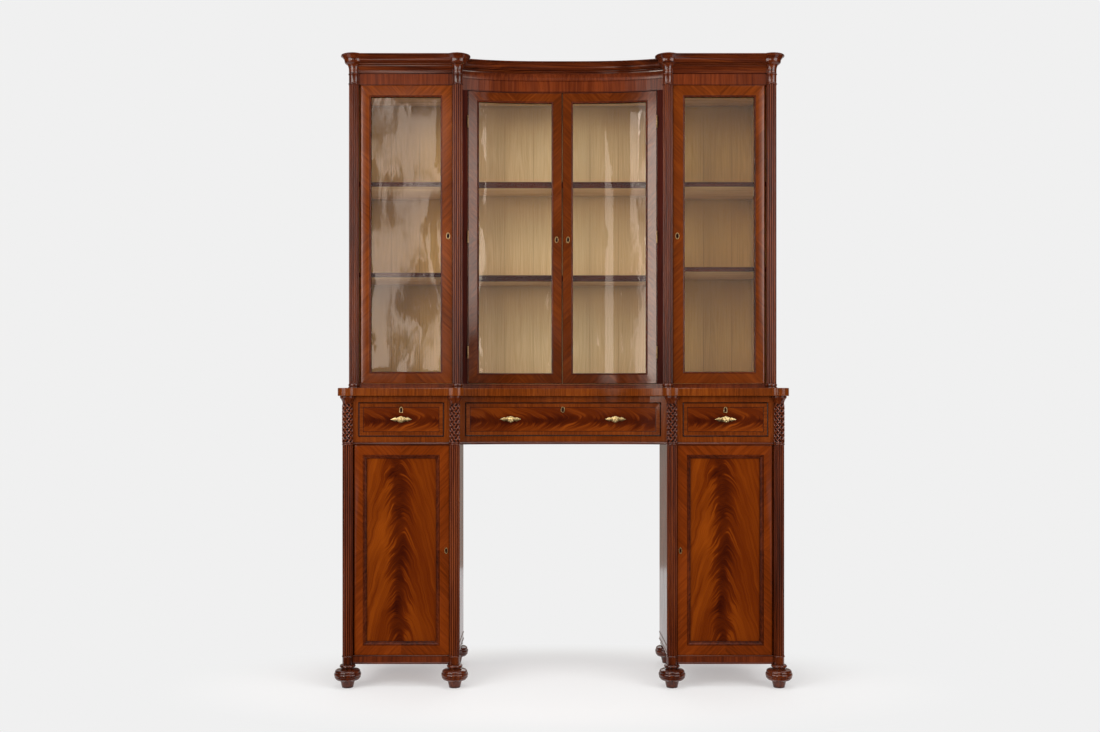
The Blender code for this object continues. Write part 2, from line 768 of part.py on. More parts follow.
def pin_door(name, sign, front_y, bottom, top, frame_width, collection, cutters, material):
    """A flat door that turns on pins in its rounded outer edge. Returns its axis and frame."""
    axis_x = sign * PIN_AXIS_X
    axis_y = front_y + EDGE_RADIUS
    axis = add_axis(f"{name}_axis", (axis_x, axis_y, bottom), collection)
    free_x = sign * (BAY_INNER_X + DOOR_GAP)
    edge = arc((0, 0), EDGE_RADIUS, math.pi / 2, -math.pi / 2, EDGE_STEPS)
    outline = [(axis_x + sign * x, axis_y + y) for x, y in edge]
    outline += [(free_x, axis_y - EDGE_RADIUS), (free_x, axis_y + EDGE_RADIUS)]
    frame = prism(f"{name}_frame", outline, bottom + DOOR_GAP, top - DOOR_GAP, collection, material)
    opening_low, opening_high = door_opening(sign, bottom, top, frame_width)
    sight = box(
        f"{name}_sight",
        (opening_low[0], front_y - OVERRUN, opening_low[1]),
        (opening_high[0], front_y + DOOR_THICKNESS + OVERRUN, opening_high[1]),
        cutters,
    )
    cut(frame, sight, cutters)
    wide_low, wide_high = door_opening(sign, bottom, top, frame_width - REBATE_WIDTH)
    rebate = box(
        f"{name}_rebate",
        (wide_low[0], front_y + DOOR_THICKNESS - REBATE_DEPTH, wide_low[1]),
        (wide_high[0], front_y + DOOR_THICKNESS + OVERRUN, wide_high[1]),
        cutters,
    )
    cut(frame, rebate, cutters)
    for end, inside, outside in (
        ("bottom", bottom + PIN_LENGTH, bottom - PIN_LENGTH),
        ("top", top - PIN_LENGTH, top + PIN_LENGTH),
    ):
        low, high = sorted((inside, outside))
        pin = cylinder(
            f"{name}_{end}_pin", (axis_x, axis_y), PIN_RADIUS, low, high, PIN_STEPS, cutters
        )
        join(frame, pin, cutters)
    hang(frame, axis)
    return axis


def door_opening(sign, bottom, top, frame_width):
    """Two opposite corners (x, z) of what a flat door's frame leaves open."""
    near = sign * (BAY_INNER_X + DOOR_GAP + frame_width)
    far = sign * (BAY_OUTER_X - DOOR_GAP - frame_width)
    return (near, bottom + DOOR_GAP + frame_width), (far, top - DOOR_GAP - frame_width)


def flat_infill(name, sign, front_y, bottom, top, frame_width, thickness, axis, collection, material):
    """The pane or panel in a flat door's rebate."""
    low, high = door_opening(sign, bottom, top, frame_width - REBATE_WIDTH)
    front = front_y + DOOR_THICKNESS - REBATE_DEPTH + GAP
    infill = box(
        name,
        (low[0] + sign * GAP, front, low[1] + GAP),
        (high[0] - sign * GAP, front + thickness, high[1] - GAP),
        collection,
        material,
    )
    hang(infill, axis)


def build_wing_door(side, sign, collection, cutters, frame_material, pane_material):
    """A wing's glazed door."""
    name = f"wing_door_{side}"
    levels = (GLAZED_BOTTOM, GLAZED_TOP)
    axis = pin_door(
        name, sign, UPPER_FRONT_Y, *levels, WING_FRAME_WIDTH, collection, cutters, frame_material
    )
    flat_infill(
        f"{name}_glass",
        sign,
        UPPER_FRONT_Y,
        *levels,
        WING_FRAME_WIDTH,
        GLASS_THICKNESS,
        axis,
        collection,
        pane_material,
    )


def build_pedestal_door(side, sign, collection, cutters, frame_material, panel_material):
    """A pedestal's panelled door."""
    name = f"pedestal_door_{side}"
    levels = (BASE_TOP, PEDESTAL_TOP)
    width = PEDESTAL_FRAME_WIDTH + PANEL_MOULDING
    axis = pin_door(
        name, sign, LOWER_FRONT_Y, *levels, width, collection, cutters, frame_material
    )
    flat_infill(
        f"{name}_panel",
        sign,
        LOWER_FRONT_Y,
        *levels,
        width,
        PANEL_THICKNESS,
        axis,
        collection,
        panel_material,
    )


def hollow_strip(near, far, sign, front, back, relief=0.0):
    """A strip in plan between two lines behind the hollow face, relieved at its inner back corner."""
    near_x = sign * near
    far_x = sign * far
    front_line = hollow_line(near_x, far_x, UPPER_FRONT_Y, front)
    back_line = hollow_line(near_x + sign * relief, far_x, UPPER_FRONT_Y, back)
    return front_line + list(reversed(back_line))


def build_centre_door(side, sign, collection, cutters, frame_material, pane_material):
    """One of the hollow centre's two glazed doors, on three butt hinges at its outer end."""
    name = f"centre_door_{side}"
    near = MEETING_GAP / 2
    far = CENTRE_HALF_WIDTH - DOOR_GAP
    bottom = GLAZED_BOTTOM + DOOR_GAP
    top = GLAZED_TOP - DOOR_GAP
    knuckle_y = hollow_y(far, UPPER_FRONT_Y) - KNUCKLE_RADIUS - KNUCKLE_LEAD
    axis = add_axis(f"{name}_axis", (sign * far, knuckle_y, bottom), collection)
    outline = hollow_strip(near, far, sign, 0, DOOR_THICKNESS, MEETING_BEVEL)
    frame = prism(f"{name}_frame", outline, bottom, top, collection, frame_material)
    width = CENTRE_FRAME_WIDTH
    sight = box(
        f"{name}_sight",
        (sign * (near + width), UPPER_FRONT_Y, bottom + width),
        (sign * (far - width), BACK_Y, top - width),
        cutters,
    )
    cut(frame, sight, cutters)
    lap = width - REBATE_WIDTH
    rebate_front = DOOR_THICKNESS - REBATE_DEPTH
    rebate_back = DOOR_THICKNESS + OVERRUN
    rebate = prism(
        f"{name}_rebate",
        hollow_strip(near + lap, far - lap, sign, rebate_front, rebate_back),
        bottom + lap,
        top - lap,
        cutters,
    )
    cut(frame, rebate, cutters)
    add_knuckles(name, frame, sign * far, sign, knuckle_y, cutters)
    pane_front = rebate_front + GAP
    pane = prism(
        f"{name}_glass",
        hollow_strip(
            near + lap + GAP, far - lap - GAP, sign, pane_front, pane_front + GLASS_THICKNESS
        ),
        bottom + lap + GAP,
        top - lap - GAP,
        collection,
        pane_material,
    )
    hang(frame, axis)
    hang(pane, axis)


def add_knuckles(name, frame, axis_x, sign, axis_y, cutters):
    """Three hinge knuckles on the axis, each with a web back to the door's end."""
    heights = {
        "bottom": GLAZED_BOTTOM + HINGE_FROM_END,
        "middle": (GLAZED_BOTTOM + GLAZED_TOP) / 2,
        "top": GLAZED_TOP - HINGE_FROM_END,
    }
    for place, height in heights.items():
        low = height - HINGE_LENGTH / 2
        high = height + HINGE_LENGTH / 2
        web = box(
            f"{name}_{place}_web",
            (axis_x, axis_y, low + GAP),
            (axis_x - sign * HINGE_WEB, axis_y + 2 * KNUCKLE_RADIUS + KNUCKLE_LEAD, high - GAP),
            cutters,
        )
        join(frame, web, cutters)
        knuckle = cylinder(
            f"{name}_{place}_knuckle",
            (axis_x, axis_y),
            KNUCKLE_RADIUS,
            low,
            high,
            KNUCKLE_STEPS,
            cutters,
        )
        join(frame, knuckle, cutters)


def build_small_drawer(side, sign, collection, cutters, material):
    """A wing's drawer. Returns its axis."""
    half = SMALL_DRAWER_WIDTH / 2 - DRAWER_GAP
    middle = sign * WING_MIDDLE_X
    back = DRAWER_BACK_Y - DRAWER_STOP
    outline = [
        (middle - half, back),
        (middle - half, LOWER_FRONT_Y),
        (middle + half, LOWER_FRONT_Y),
        (middle + half, back),
    ]
    inside = half - DRAWER_SIDE
    front = LOWER_FRONT_Y + DRAWER_FRONT
    hollow = (middle - inside, middle + inside, front, back)
    return finish_drawer(f"drawer_{side}", outline, hollow, collection, cutters, material)


def build_centre_drawer(collection, cutters, material):
    """The wide drawer over the kneehole, with its hollow front. Returns its axis."""
    half = CENTRE_HALF_WIDTH - DRAWER_GAP
    back = DRAWER_BACK_Y - DRAWER_STOP
    face = hollow_line(-half, half, LOWER_FRONT_Y, steps=2 * HALF_HOLLOW_STEPS)
    outline = [(-half, back), *face, (half, back)]
    inside = half - DRAWER_SIDE
    front = LOWER_FRONT_Y + RECESS + DRAWER_FRONT
    hollow = (-inside, inside, front, back)
    return finish_drawer("drawer_centre", outline, hollow, collection, cutters, material)


def finish_drawer(name, outline, hollow, collection, cutters, material):
    """Raises a drawer over its outline, hollows it and puts it on its slide's axis.

    The hollow is its left and right face, its front face and the drawer's back.
    """
    left, right, front, back = hollow
    bottom = DRAWER_LOW + DRAWER_GAP
    top = DRAWER_HIGH - DRAWER_GAP
    drawer = prism(name, outline, bottom, top, collection, material)
    inside = box(
        f"{name}_inside",
        (left, front, bottom + DRAWER_BOTTOM),
        (right, back - DRAWER_SIDE, top + OVERRUN),
        cutters,
    )
    cut(drawer, inside, cutters)
    axis = add_axis(f"{name}_axis", ((left + right) / 2, front, bottom), collection)
    hang(drawer, axis)
    return axis


def plate_outline():
    """A handle plate's leaf outline, going round once."""
    quarter = [(x * PLATE_HALF_WIDTH, y * PLATE_HALF_HEIGHT) for x, y in PLATE_QUARTER_SHARES]
    upper = quarter + [(-x, y) for x, y in reversed(quarter)]
    lower = [(-x, -y) for x, y in quarter[1:]] + [(x, -y) for x, y in reversed(quarter[1:])]
    return upper + lower


def build_handle(name, x, face_y, turn, bow, axis, collection, cutters, material):
    """A leaf plate with a rosette knob on a drawer's face, turned to suit a hollow front.

    The bow is how far the face falls back behind the middle of the flat plate.
    """
    curve = bpy.data.curves.new(f"{name}_plate", "CURVE")
    curve.dimensions = "2D"
    curve.fill_mode = "BOTH"
    curve.extrude = PLATE_THICKNESS / 2
    points = plate_outline()
    spline = curve.splines.new("POLY")
    spline.points.add(len(points) - 1)
    for point, (across, up) in zip(spline.points, points):
        point.co = (across, up, 0, 1)
    spline.use_cyclic_u = True
    flat = bpy.data.objects.new(f"{name}_flat", curve)
    cutters.objects.link(flat)
    bpy.context.view_layer.update()
    graph = bpy.context.evaluated_depsgraph_get()
    mesh = bpy.data.meshes.new_from_object(flat.evaluated_get(graph))
    bpy.data.objects.remove(flat, do_unlink=True)
    mesh_builder = bmesh.new()
    mesh_builder.from_mesh(mesh)
    bpy.data.meshes.remove(mesh)
    handle = mesh_object(name, mesh_builder, collection, material)
    profile = [
        (radius * KNOB_RADIUS, reach * KNOB_REACH) for radius, reach in KNOB_PROFILE_SHARES
    ]
    knob = turned(f"{name}_knob", profile, (0, 0, 0), KNOB_STEPS, cutters)
    join(handle, knob, cutters)
    height = DRAWER_LOW + DRAWER_OPENING_HEIGHT * HANDLE_HEIGHT_SHARE
    stand = GAP + bow + PLATE_THICKNESS / 2
    place = Vector((x + math.sin(turn) * stand, face_y - math.cos(turn) * stand, height))
    for obj in (handle, knob):
        obj.rotation_euler = (math.pi / 2, 0, turn)
        obj.location = place
    handle.parent = axis
    handle.location = place - axis.location


def plate_seat(x, front_y):
    """How a plate lies on the hollow face: its angle from +X in plan, and the bow behind it."""
    start_y = hollow_y(x - PLATE_HALF_WIDTH, front_y)
    end_y = hollow_y(x + PLATE_HALF_WIDTH, front_y)
    angle = math.atan2(end_y - start_y, 2 * PLATE_HALF_WIDTH)
    return angle, hollow_y(x, front_y) - (start_y + end_y) / 2


def build_drawers(collection, cutters, front_material, brass):
    """Three drawers with their handles."""
    for side, sign in SIDES.items():
        axis = build_small_drawer(side, sign, collection, cutters, front_material)
        x = sign * WING_MIDDLE_X
        build_handle(f"handle_{side}", x, LOWER_FRONT_Y, 0, 0, axis, collection, cutters, brass)
    axis = build_centre_drawer(collection, cutters, front_material)
    for side, sign in SIDES.items():
        x = sign * CENTRE_HANDLE_X
        angle, bow = plate_seat(x, LOWER_FRONT_Y)
        face_y = hollow_y(x, LOWER_FRONT_Y)
        name = f"handle_centre_{side}"
        build_handle(name, x, face_y, angle, bow, axis, collection, cutters, brass)


def main():
    """Builds every piece of the bookcase."""
    clear_scene()
    parts = add_collection(OBJECT_NAME)
    cutters = add_collection("cutters")
    case_wood = mahogany_case_material()
    frame_wood = mahogany_frame_material()
    turned_wood = mahogany_turned_material()
    flame_wood = mahogany_flame_material()
    pale_wood = pale_wood_material()
    shelf_wood = shelf_material()
    glass = glass_material()
    brass = brass_material()

    build_feet(parts, turned_wood)
    build_columns(parts, turned_wood)
    for side, sign in SIDES.items():
        build_pedestal_case(side, sign, parts, cutters, case_wood)
        build_pedestal_door(side, sign, parts, cutters, frame_wood, flame_wood)
        build_wing_case(side, sign, parts, cutters, case_wood)
        build_wing_door(side, sign, parts, cutters, frame_wood, glass)
        build_centre_door(side, sign, parts, cutters, frame_wood, glass)
        build_wing_cornice(side, sign, parts, case_wood)
    build_drawer_case(parts, cutters, case_wood)
    build_waist_board(parts, case_wood)
    build_centre_case(parts, cutters, case_wood)
    build_centre_cornice(parts, cutters, case_wood)
    build_backs(parts, pale_wood)
    build_shelves(parts, shelf_wood)
    build_drawers(parts, cutters, frame_wood, brass)


main()
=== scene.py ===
"""Dresses the CAD frame of a mahogany bookcase with fine pieces, finishes, light and a camera."""

import logging
import math
from collections.abc import Callable, Iterable, Sequence
from dataclasses import dataclass
from enum import Enum
from functools import cache

import bmesh
import bpy
import numpy as np
from mathutils import Matrix, Vector


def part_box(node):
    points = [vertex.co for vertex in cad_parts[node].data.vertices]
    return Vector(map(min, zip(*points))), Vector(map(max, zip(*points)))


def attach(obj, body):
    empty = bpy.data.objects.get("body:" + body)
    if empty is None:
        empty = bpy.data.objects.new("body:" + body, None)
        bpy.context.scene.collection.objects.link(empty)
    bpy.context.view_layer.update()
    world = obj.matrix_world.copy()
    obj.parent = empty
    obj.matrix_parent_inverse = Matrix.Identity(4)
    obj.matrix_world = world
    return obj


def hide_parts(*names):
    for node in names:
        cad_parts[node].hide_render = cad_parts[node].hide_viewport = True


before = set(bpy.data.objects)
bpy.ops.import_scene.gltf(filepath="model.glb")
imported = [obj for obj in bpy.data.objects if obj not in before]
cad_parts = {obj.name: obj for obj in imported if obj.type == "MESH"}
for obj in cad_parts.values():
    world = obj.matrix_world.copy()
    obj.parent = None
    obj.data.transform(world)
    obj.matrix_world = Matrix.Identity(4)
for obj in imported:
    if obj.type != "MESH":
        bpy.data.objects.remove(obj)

LOG = logging.getLogger("bookcase")
SIDES = {"left": -1, "right": 1}
DIAGONAL = math.sqrt(0.5)
QUARTER = math.pi / 2
GLOSS = "Specular IOR Level"

Rgb = tuple[int, int, int]
Pair = tuple[float, float]
Point = tuple[float, float, float]
Section = Sequence[tuple[float, float, int]]
Placing = Callable[[float, float, float], Point]
Material = bpy.types.Material


class Grain(Enum):
    """Which way the fibres run: axes along them, across them and into the wood."""

    UPRIGHT = ((0, 0, 1), (1, 0, 0), (0, 1, 0))
    LEVEL = ((1, 0, 0), (0, 0, 1), (0, 1, 0))
    DEEP = ((0, 1, 0), (1, 0, 0), (0, 0, 1))
    RISING = ((DIAGONAL, 0, DIAGONAL), (DIAGONAL, 0, -DIAGONAL), (0, 1, 0))
    FALLING = ((DIAGONAL, 0, -DIAGONAL), (DIAGONAL, 0, DIAGONAL), (0, 1, 0))


GRAINS = list(Grain)
Paint = Callable[[Vector, int], tuple[Grain, int]]


class Boards(Enum):
    """How a CAD node's boards lie: the grain of faces that look along X, along Y and along Z."""

    STANDING = (Grain.UPRIGHT, Grain.UPRIGHT, Grain.LEVEL)
    DRAWER = (Grain.DEEP, Grain.LEVEL, Grain.LEVEL)


def mm(*rows: Sequence[float]) -> tuple[tuple[float, ...], ...]:
    """Turns rows of millimetres into metres."""
    return tuple(tuple(value / 1000 for value in row) for row in rows)


def section(*rows: tuple[float, float, int]) -> Section:
    """Turns rows of millimetres across and deep, each with its finish, into a section in metres."""
    return tuple((across / 1000, depth / 1000, slot) for across, depth, slot in rows)


def plain(grain: Grain = Grain.UPRIGHT, slot: int = 0) -> Paint:
    """Returns a paint that gives every face the same grain and finish."""
    return lambda centre, index: (grain, slot)


def arc(centre: Pair, radius: float, start: float, end: float, steps: int) -> list[Pair]:
    """Returns the points of an arc in plan, both ends with it."""
    angles = [start + (end - start) * index / steps for index in range(steps + 1)]
    return [(centre[0] + radius * math.cos(a), centre[1] + radius * math.sin(a)) for a in angles]


def put(name: str, data: object) -> bpy.types.Object:
    """Makes an object for a mesh, a lamp or a camera and links it into the scene."""
    made = bpy.data.objects.new(name, data)
    bpy.context.scene.collection.objects.link(made)
    return made


def barrel(radius: float, low: float, high: float, ease: float = 0.0006) -> list[Pair]:
    """Returns the radii and levels of a round pin with eased ends."""
    return [(radius - ease, low), (radius, low + ease), (radius, high - ease), (radius - ease, high)]


def linear(colour: Rgb) -> tuple[float, float, float, float]:
    """Returns a display colour of 0 to 255 as the linear colour that a shader takes."""
    shares = [channel / 255 for channel in colour]
    return (*(s / 12.92 if s < 0.04045 else ((s + 0.055) / 1.055) ** 2.4 for s in shares), 1.0)


@dataclass(frozen=True)
class Plan:
    """Lines and levels that the pieces share, in metres, as the frame has them."""

    inner_axis: float = 0.4085
    outer_axis: float = 0.811
    centre_half: float = 0.374
    bay_inner: float = 0.4285
    bay_outer: float = 0.791
    lower_front: float = -0.20975
    upper_front: float = -0.06375
    back: float = 0.26025
    recess: float = 0.105
    rise: float = 0.0365
    column: float = 0.0195
    collar: float = 0.0217
    clear: float = 0.0006
    foot_top: float = 0.0865
    base_top: float = 0.1195
    pedestal_top: float = 0.910
    drawer_low: float = 0.942
    drawer_high: float = 1.070
    section_top: float = 1.0945
    board_top: float = 1.1245
    glazed_bottom: float = 1.144
    glazed_top: float = 2.304
    frieze_top: float = 2.348
    door: float = 0.022
    gap: float = 0.001
    skin: float = 0.0004

    @property
    def wing_middle(self) -> float:
        """X of a wing's middle."""
        return (self.inner_axis + self.outer_axis) / 2

    @property
    def pin_axis(self) -> float:
        """X of the pins that a flat door turns on."""
        return self.bay_outer - self.gap - self.door / 2

    @property
    def stop(self) -> float:
        """How far from a column's axis a moulding stops."""
        return self.collar + self.clear

    def bay(self, sign: int, inset: float) -> list[float]:
        """Returns the left and right of a wing's opening, drawn in by an inset."""
        return sorted((sign * (self.bay_inner + inset), sign * (self.bay_outer - inset)))

    def hollow(self, x: float, front: float) -> float:
        """Returns the Y of the hollow centre's face at a distance x from the middle."""
        return front + self.recess - self.rise * abs(x / self.centre_half) ** 3

    def hollow_line(self, end: float, front: float, steps: int = 36) -> list[Pair]:
        """Returns points along the hollow face from -end to end, at a front's depth."""
        half = self.centre_half
        xs = [-half + 2 * half * index / steps for index in range(steps + 1)]
        xs = [-end, *xs, end] if end > half else [x * end / half for x in xs]
        return [(x, self.hollow(x, front)) for x in xs]

    def runs(self, sign: int, front: float) -> list[tuple[list[Pair], Pair, Grain]]:
        """Returns a wing's front, outer side and inner side: two ends, the way out and the grain."""
        ends = (self.inner_axis + self.stop, self.outer_axis - self.stop)
        across = [(sign * end, front) for end in ends]
        outer, inner = sign * self.outer_axis, sign * self.inner_axis
        return [
            (across, (0, -1), Grain.LEVEL),
            ([(outer, front + self.stop), (outer, self.back)], (sign, 0), Grain.DEEP),
            ([(inner, self.back), (inner, front + self.stop)], (-sign, 0), Grain.DEEP),
        ]

    def breaks(self, front: float, over: float, radius: float, steps: int, whole: bool) -> list[Pair]:
        """Returns the left wing's edge in plan, from its back corner round both columns.

        Args:
            front: Y of the wings' front.
            over: How far the edge stands out of the straight faces.
            radius: How far it stands from a column's axis.
            steps: How many pieces each arc has.
            whole: Whether the inner arc turns right back behind its column.

        Returns:
            Points in plan.
        """
        meet = math.acos(min(over / radius, 1.0))
        below, end = 3 * QUARTER, math.tau + (QUARTER if whole else meet)
        outer = arc((-self.outer_axis, front), radius, math.pi - meet, below + meet, steps)
        inner = arc((-self.inner_axis, front), radius, below - meet, end, steps)
        return [(-self.outer_axis - over, self.back), *outer, *inner]


PLAN = Plan()


class Shape:
    """Gathers closed solids into one piece, each face with its grain and finish."""

    def __init__(self, name: str) -> None:
        """Starts an empty piece with the name that it will have."""
        self.name = name
        self.points: list[Point] = []
        self.faces: list[tuple[int, ...]] = []
        self.grains: list[int] = []
        self.slots: list[int] = []
        self.solids: list[int] = []
        self.count = 0

    def loft(self, rings: Sequence[Sequence[Point]], paint: Paint = plain(), looped: bool = False) -> None:
        """Adds a solid through rings of points that match one to one.

        Args:
            rings: Rings of the same length, in order.
            paint: Gives a face its grain and finish, from its centre and its place in the ring.
            looped: Whether the last ring meets the first, as in a hoop.
        """
        builder = bmesh.new()
        marks = [builder.faces.layers.int.new(name) for name in ("grain_mark", "slot_mark")]
        loops = [[builder.verts.new(point) for point in ring] for ring in rings]

        def add(corners: Iterable[bmesh.types.BMVert], index: int) -> None:
            face = builder.faces.new(corners)
            grain, face[marks[1]] = paint(face.calc_center_median(), index)
            face[marks[0]] = GRAINS.index(grain)

        for lower, upper in list(zip(loops, loops[1:])) + ([(loops[-1], loops[0])] if looped else []):
            for index, start in enumerate(lower):
                after = (index + 1) % len(lower)
                add((start, lower[after], upper[after], upper[index]), index)
        if not looped:
            add(reversed(loops[0]), -1)
            add(loops[-1], -1)
        self._take(builder, marks)

    def take_mesh(self, mesh: bpy.types.Mesh, slot: int = 0) -> None:
        """Adds an upright-grained mesh that Geometry Nodes made, and removes that mesh."""
        builder = bmesh.new()
        builder.from_mesh(mesh)
        bpy.data.meshes.remove(mesh)
        marks = [builder.faces.layers.int.new(name) for name in ("grain_mark", "slot_mark")]
        for face in builder.faces:
            face[marks[1]] = slot
        self._take(builder, marks)

    def _take(self, builder: bmesh.types.BMesh, marks: Sequence[bmesh.types.BMLayerItem]) -> None:
        """Closes the seams of a finished solid, turns its faces out and adds it with its marks."""
        bmesh.ops.remove_doubles(builder, verts=builder.verts, dist=1e-6)
        bmesh.ops.dissolve_degenerate(builder, edges=builder.edges, dist=1e-7)
        bmesh.ops.recalc_face_normals(builder, faces=builder.faces)
        start = len(self.points)
        builder.verts.index_update()
        self.points += [tuple(vertex.co) for vertex in builder.verts]
        for face in builder.faces:
            self.faces.append(tuple(start + vertex.index for vertex in face.verts))
            self.grains.append(face[marks[0]])
            self.slots.append(face[marks[1]])
            self.solids.append(self.count)
        self.count += 1
        builder.free()

    def lathe(self, profile: Sequence[Pair], place: Placing, steps: int) -> None:
        """Adds a turned solid.

        Args:
            profile: Radius and height pairs, from the axis at one end to the axis at the other.
            place: Turns across, sideways and along distances from the axis into a point.
            steps: How many rings go round.
        """
        rings = []
        for index in range(steps):
            across, aside = math.cos(math.tau * index / steps), math.sin(math.tau * index / steps)
            rings.append([place(r * across, r * aside, h) for r, h in profile])
        self.loft(rings, looped=True)

    def turn(self, x: float, y: float, profile: Sequence[Pair], steps: int = 20) -> None:
        """Adds a solid turned about an upright axis, flat at both ends of its profile."""
        whole = [(0.0, profile[0][1]), *profile, (0.0, profile[-1][1])]
        self.lathe(whole, lambda across, aside, level: (x + across, y + aside, level), steps)

    def sweep(
        self, line: Sequence[Pair], out: Pair, profile: Sequence[Pair], grain: Grain = Grain.LEVEL
    ) -> None:
        """Runs a moulding along a line in plan.

        Args:
            line: Points in plan.
            out: The way that the moulding stands out.
            profile: How far out it is at each level.
            grain: Which way its fibres run.
        """
        rings = [[(x + out[0] * reach, y + out[1] * reach, z) for reach, z in profile] for x, y in line]
        self.loft(rings, plain(grain))

    def block(self, low: Point, high: Point, ease: float) -> None:
        """Adds a block with eased edges."""
        (x0, y0, z0), (x1, y1, z1) = low, high
        rings = []
        for z, inset in ((z0, ease), (z0 + ease, 0), (z1 - ease, 0), (z1, ease)):
            a, b, c, d = x0 + inset, x1 - inset, y0 + inset, y1 - inset
            flat = [(a + ease, c), (b - ease, c), (b, c + ease), (b, d - ease)]
            flat += [(b - ease, d), (a + ease, d), (a, d - ease), (a, c + ease)]
            rings.append([(x, y, z) for x, y in flat])
        self.loft(rings)

    def finish(
        self,
        body: str,
        finishes: Sequence[Material],
        replaces: Sequence[str] = (),
        angle: float = 38,
    ) -> None:
        """Makes the piece, with its grain as an attribute, and hangs it on its body.

        Args:
            body: The CAD body that it rides on.
            finishes: Its materials, in the order of the paints' numbers.
            replaces: CAD nodes that it stands for.
            angle: Edges sharper than this many degrees stay crisp.
        """
        mesh = bpy.data.meshes.new(self.name)
        mesh.from_pydata(self.points, [], self.faces)
        for material in finishes:
            mesh.materials.append(material)
        mesh.polygons.foreach_set("material_index", self.slots)
        self._lay_grain(mesh)
        mesh.shade_smooth()
        mesh.set_sharp_from_angle(angle=math.radians(angle))
        made = put(self.name, mesh)
        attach(made, body)
        if replaces:
            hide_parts(*replaces)
        LOG.info("%s: %d faces on %s", self.name, len(self.faces), body)

    def _lay_grain(self, mesh: bpy.types.Mesh) -> None:
        """Writes each face corner's place along, across and into the wood, shifted for each solid."""
        corners = np.empty(len(mesh.loops), np.int32)
        mesh.loops.foreach_get("vertex_index", corners)
        sizes = [len(face) for face in self.faces]
        axes = np.array([grain.value for grain in GRAINS])[np.repeat(self.grains, sizes)]
        shift = np.repeat(self.solids, sizes)[:, None] * np.array([0.731, 0.417, 0.293])
        laid = np.einsum("nij,nj->ni", axes, np.array(self.points)[corners]) + shift
        attribute = mesh.attributes.new("grain", "FLOAT_VECTOR", "CORNER")
        attribute.data.foreach_set("vector", laid.astype(np.float32).ravel())


def sum_of(operation: str, swapped: bool = False) -> Callable[["Term", object], "Term"]:
    """Returns a method that adds one maths node, with the term second where it is swapped."""

    def work_out(term: "Term", other: object) -> "Term":
        return term.nodes.maths(operation, *((other, term) if swapped else (term, other)))

    return work_out


@dataclass(frozen=True, eq=False)
class Term:
    """A node's output, which takes part in sums as a number does."""

    nodes: "Nodes"
    socket: bpy.types.NodeSocket

    __add__ = __radd__ = sum_of("ADD")
    __sub__ = sum_of("SUBTRACT")
    __rsub__ = sum_of("SUBTRACT", swapped=True)
    __mul__ = __rmul__ = sum_of("MULTIPLY")
    __truediv__ = sum_of("DIVIDE")
    __pow__ = sum_of("POWER")


class Nodes:
    """A node tree, written as a calculation."""

    def __init__(self, tree: bpy.types.NodeTree) -> None:
        """Takes the tree that the nodes go into."""
        self.tree = tree

    def feed(self, socket: bpy.types.NodeSocket, value: object) -> None:
        """Links a term into a socket, or sets a value there."""
        if isinstance(value, Term):
            self.tree.links.new(value.socket, socket)
        else:
            socket.default_value = value

    def node(self, kind: str, feeds: dict | None = None, out: int | str = 0, **settings: object) -> Term:
        """Adds a node.

        Args:
            kind: Its type.
            feeds: What goes into its inputs.
            out: Which of its outputs is wanted.
            settings: Its own settings.

        Returns:
            The output.
        """
        made = self.tree.nodes.new(kind)
        for key, setting in settings.items():
            setattr(made, key, setting)
        for key, value in (feeds or {}).items():
            self.feed(made.inputs[key], value)
        return Term(self, made.outputs[out])

    def maths(self, operation: str, *values: object) -> Term:
        """Adds one sum and returns its result."""
        return self.node("ShaderNodeMath", dict(enumerate(values)), operation=operation)

    def vector(self, *values: object) -> Term:
        """Returns a vector of three values."""
        return self.node("ShaderNodeCombineXYZ", dict(enumerate(values)))

    def either_ray(self, *kinds: str) -> Term:
        """Returns 1 on rays of one of the kinds, and 0 on others."""
        rays = [self.node("ShaderNodeLightPath", out=f"Is {kind} Ray") for kind in kinds]
        found = rays[0]
        for ray in rays[1:]:
            found = self.maths("MAXIMUM", found, ray)
        return found


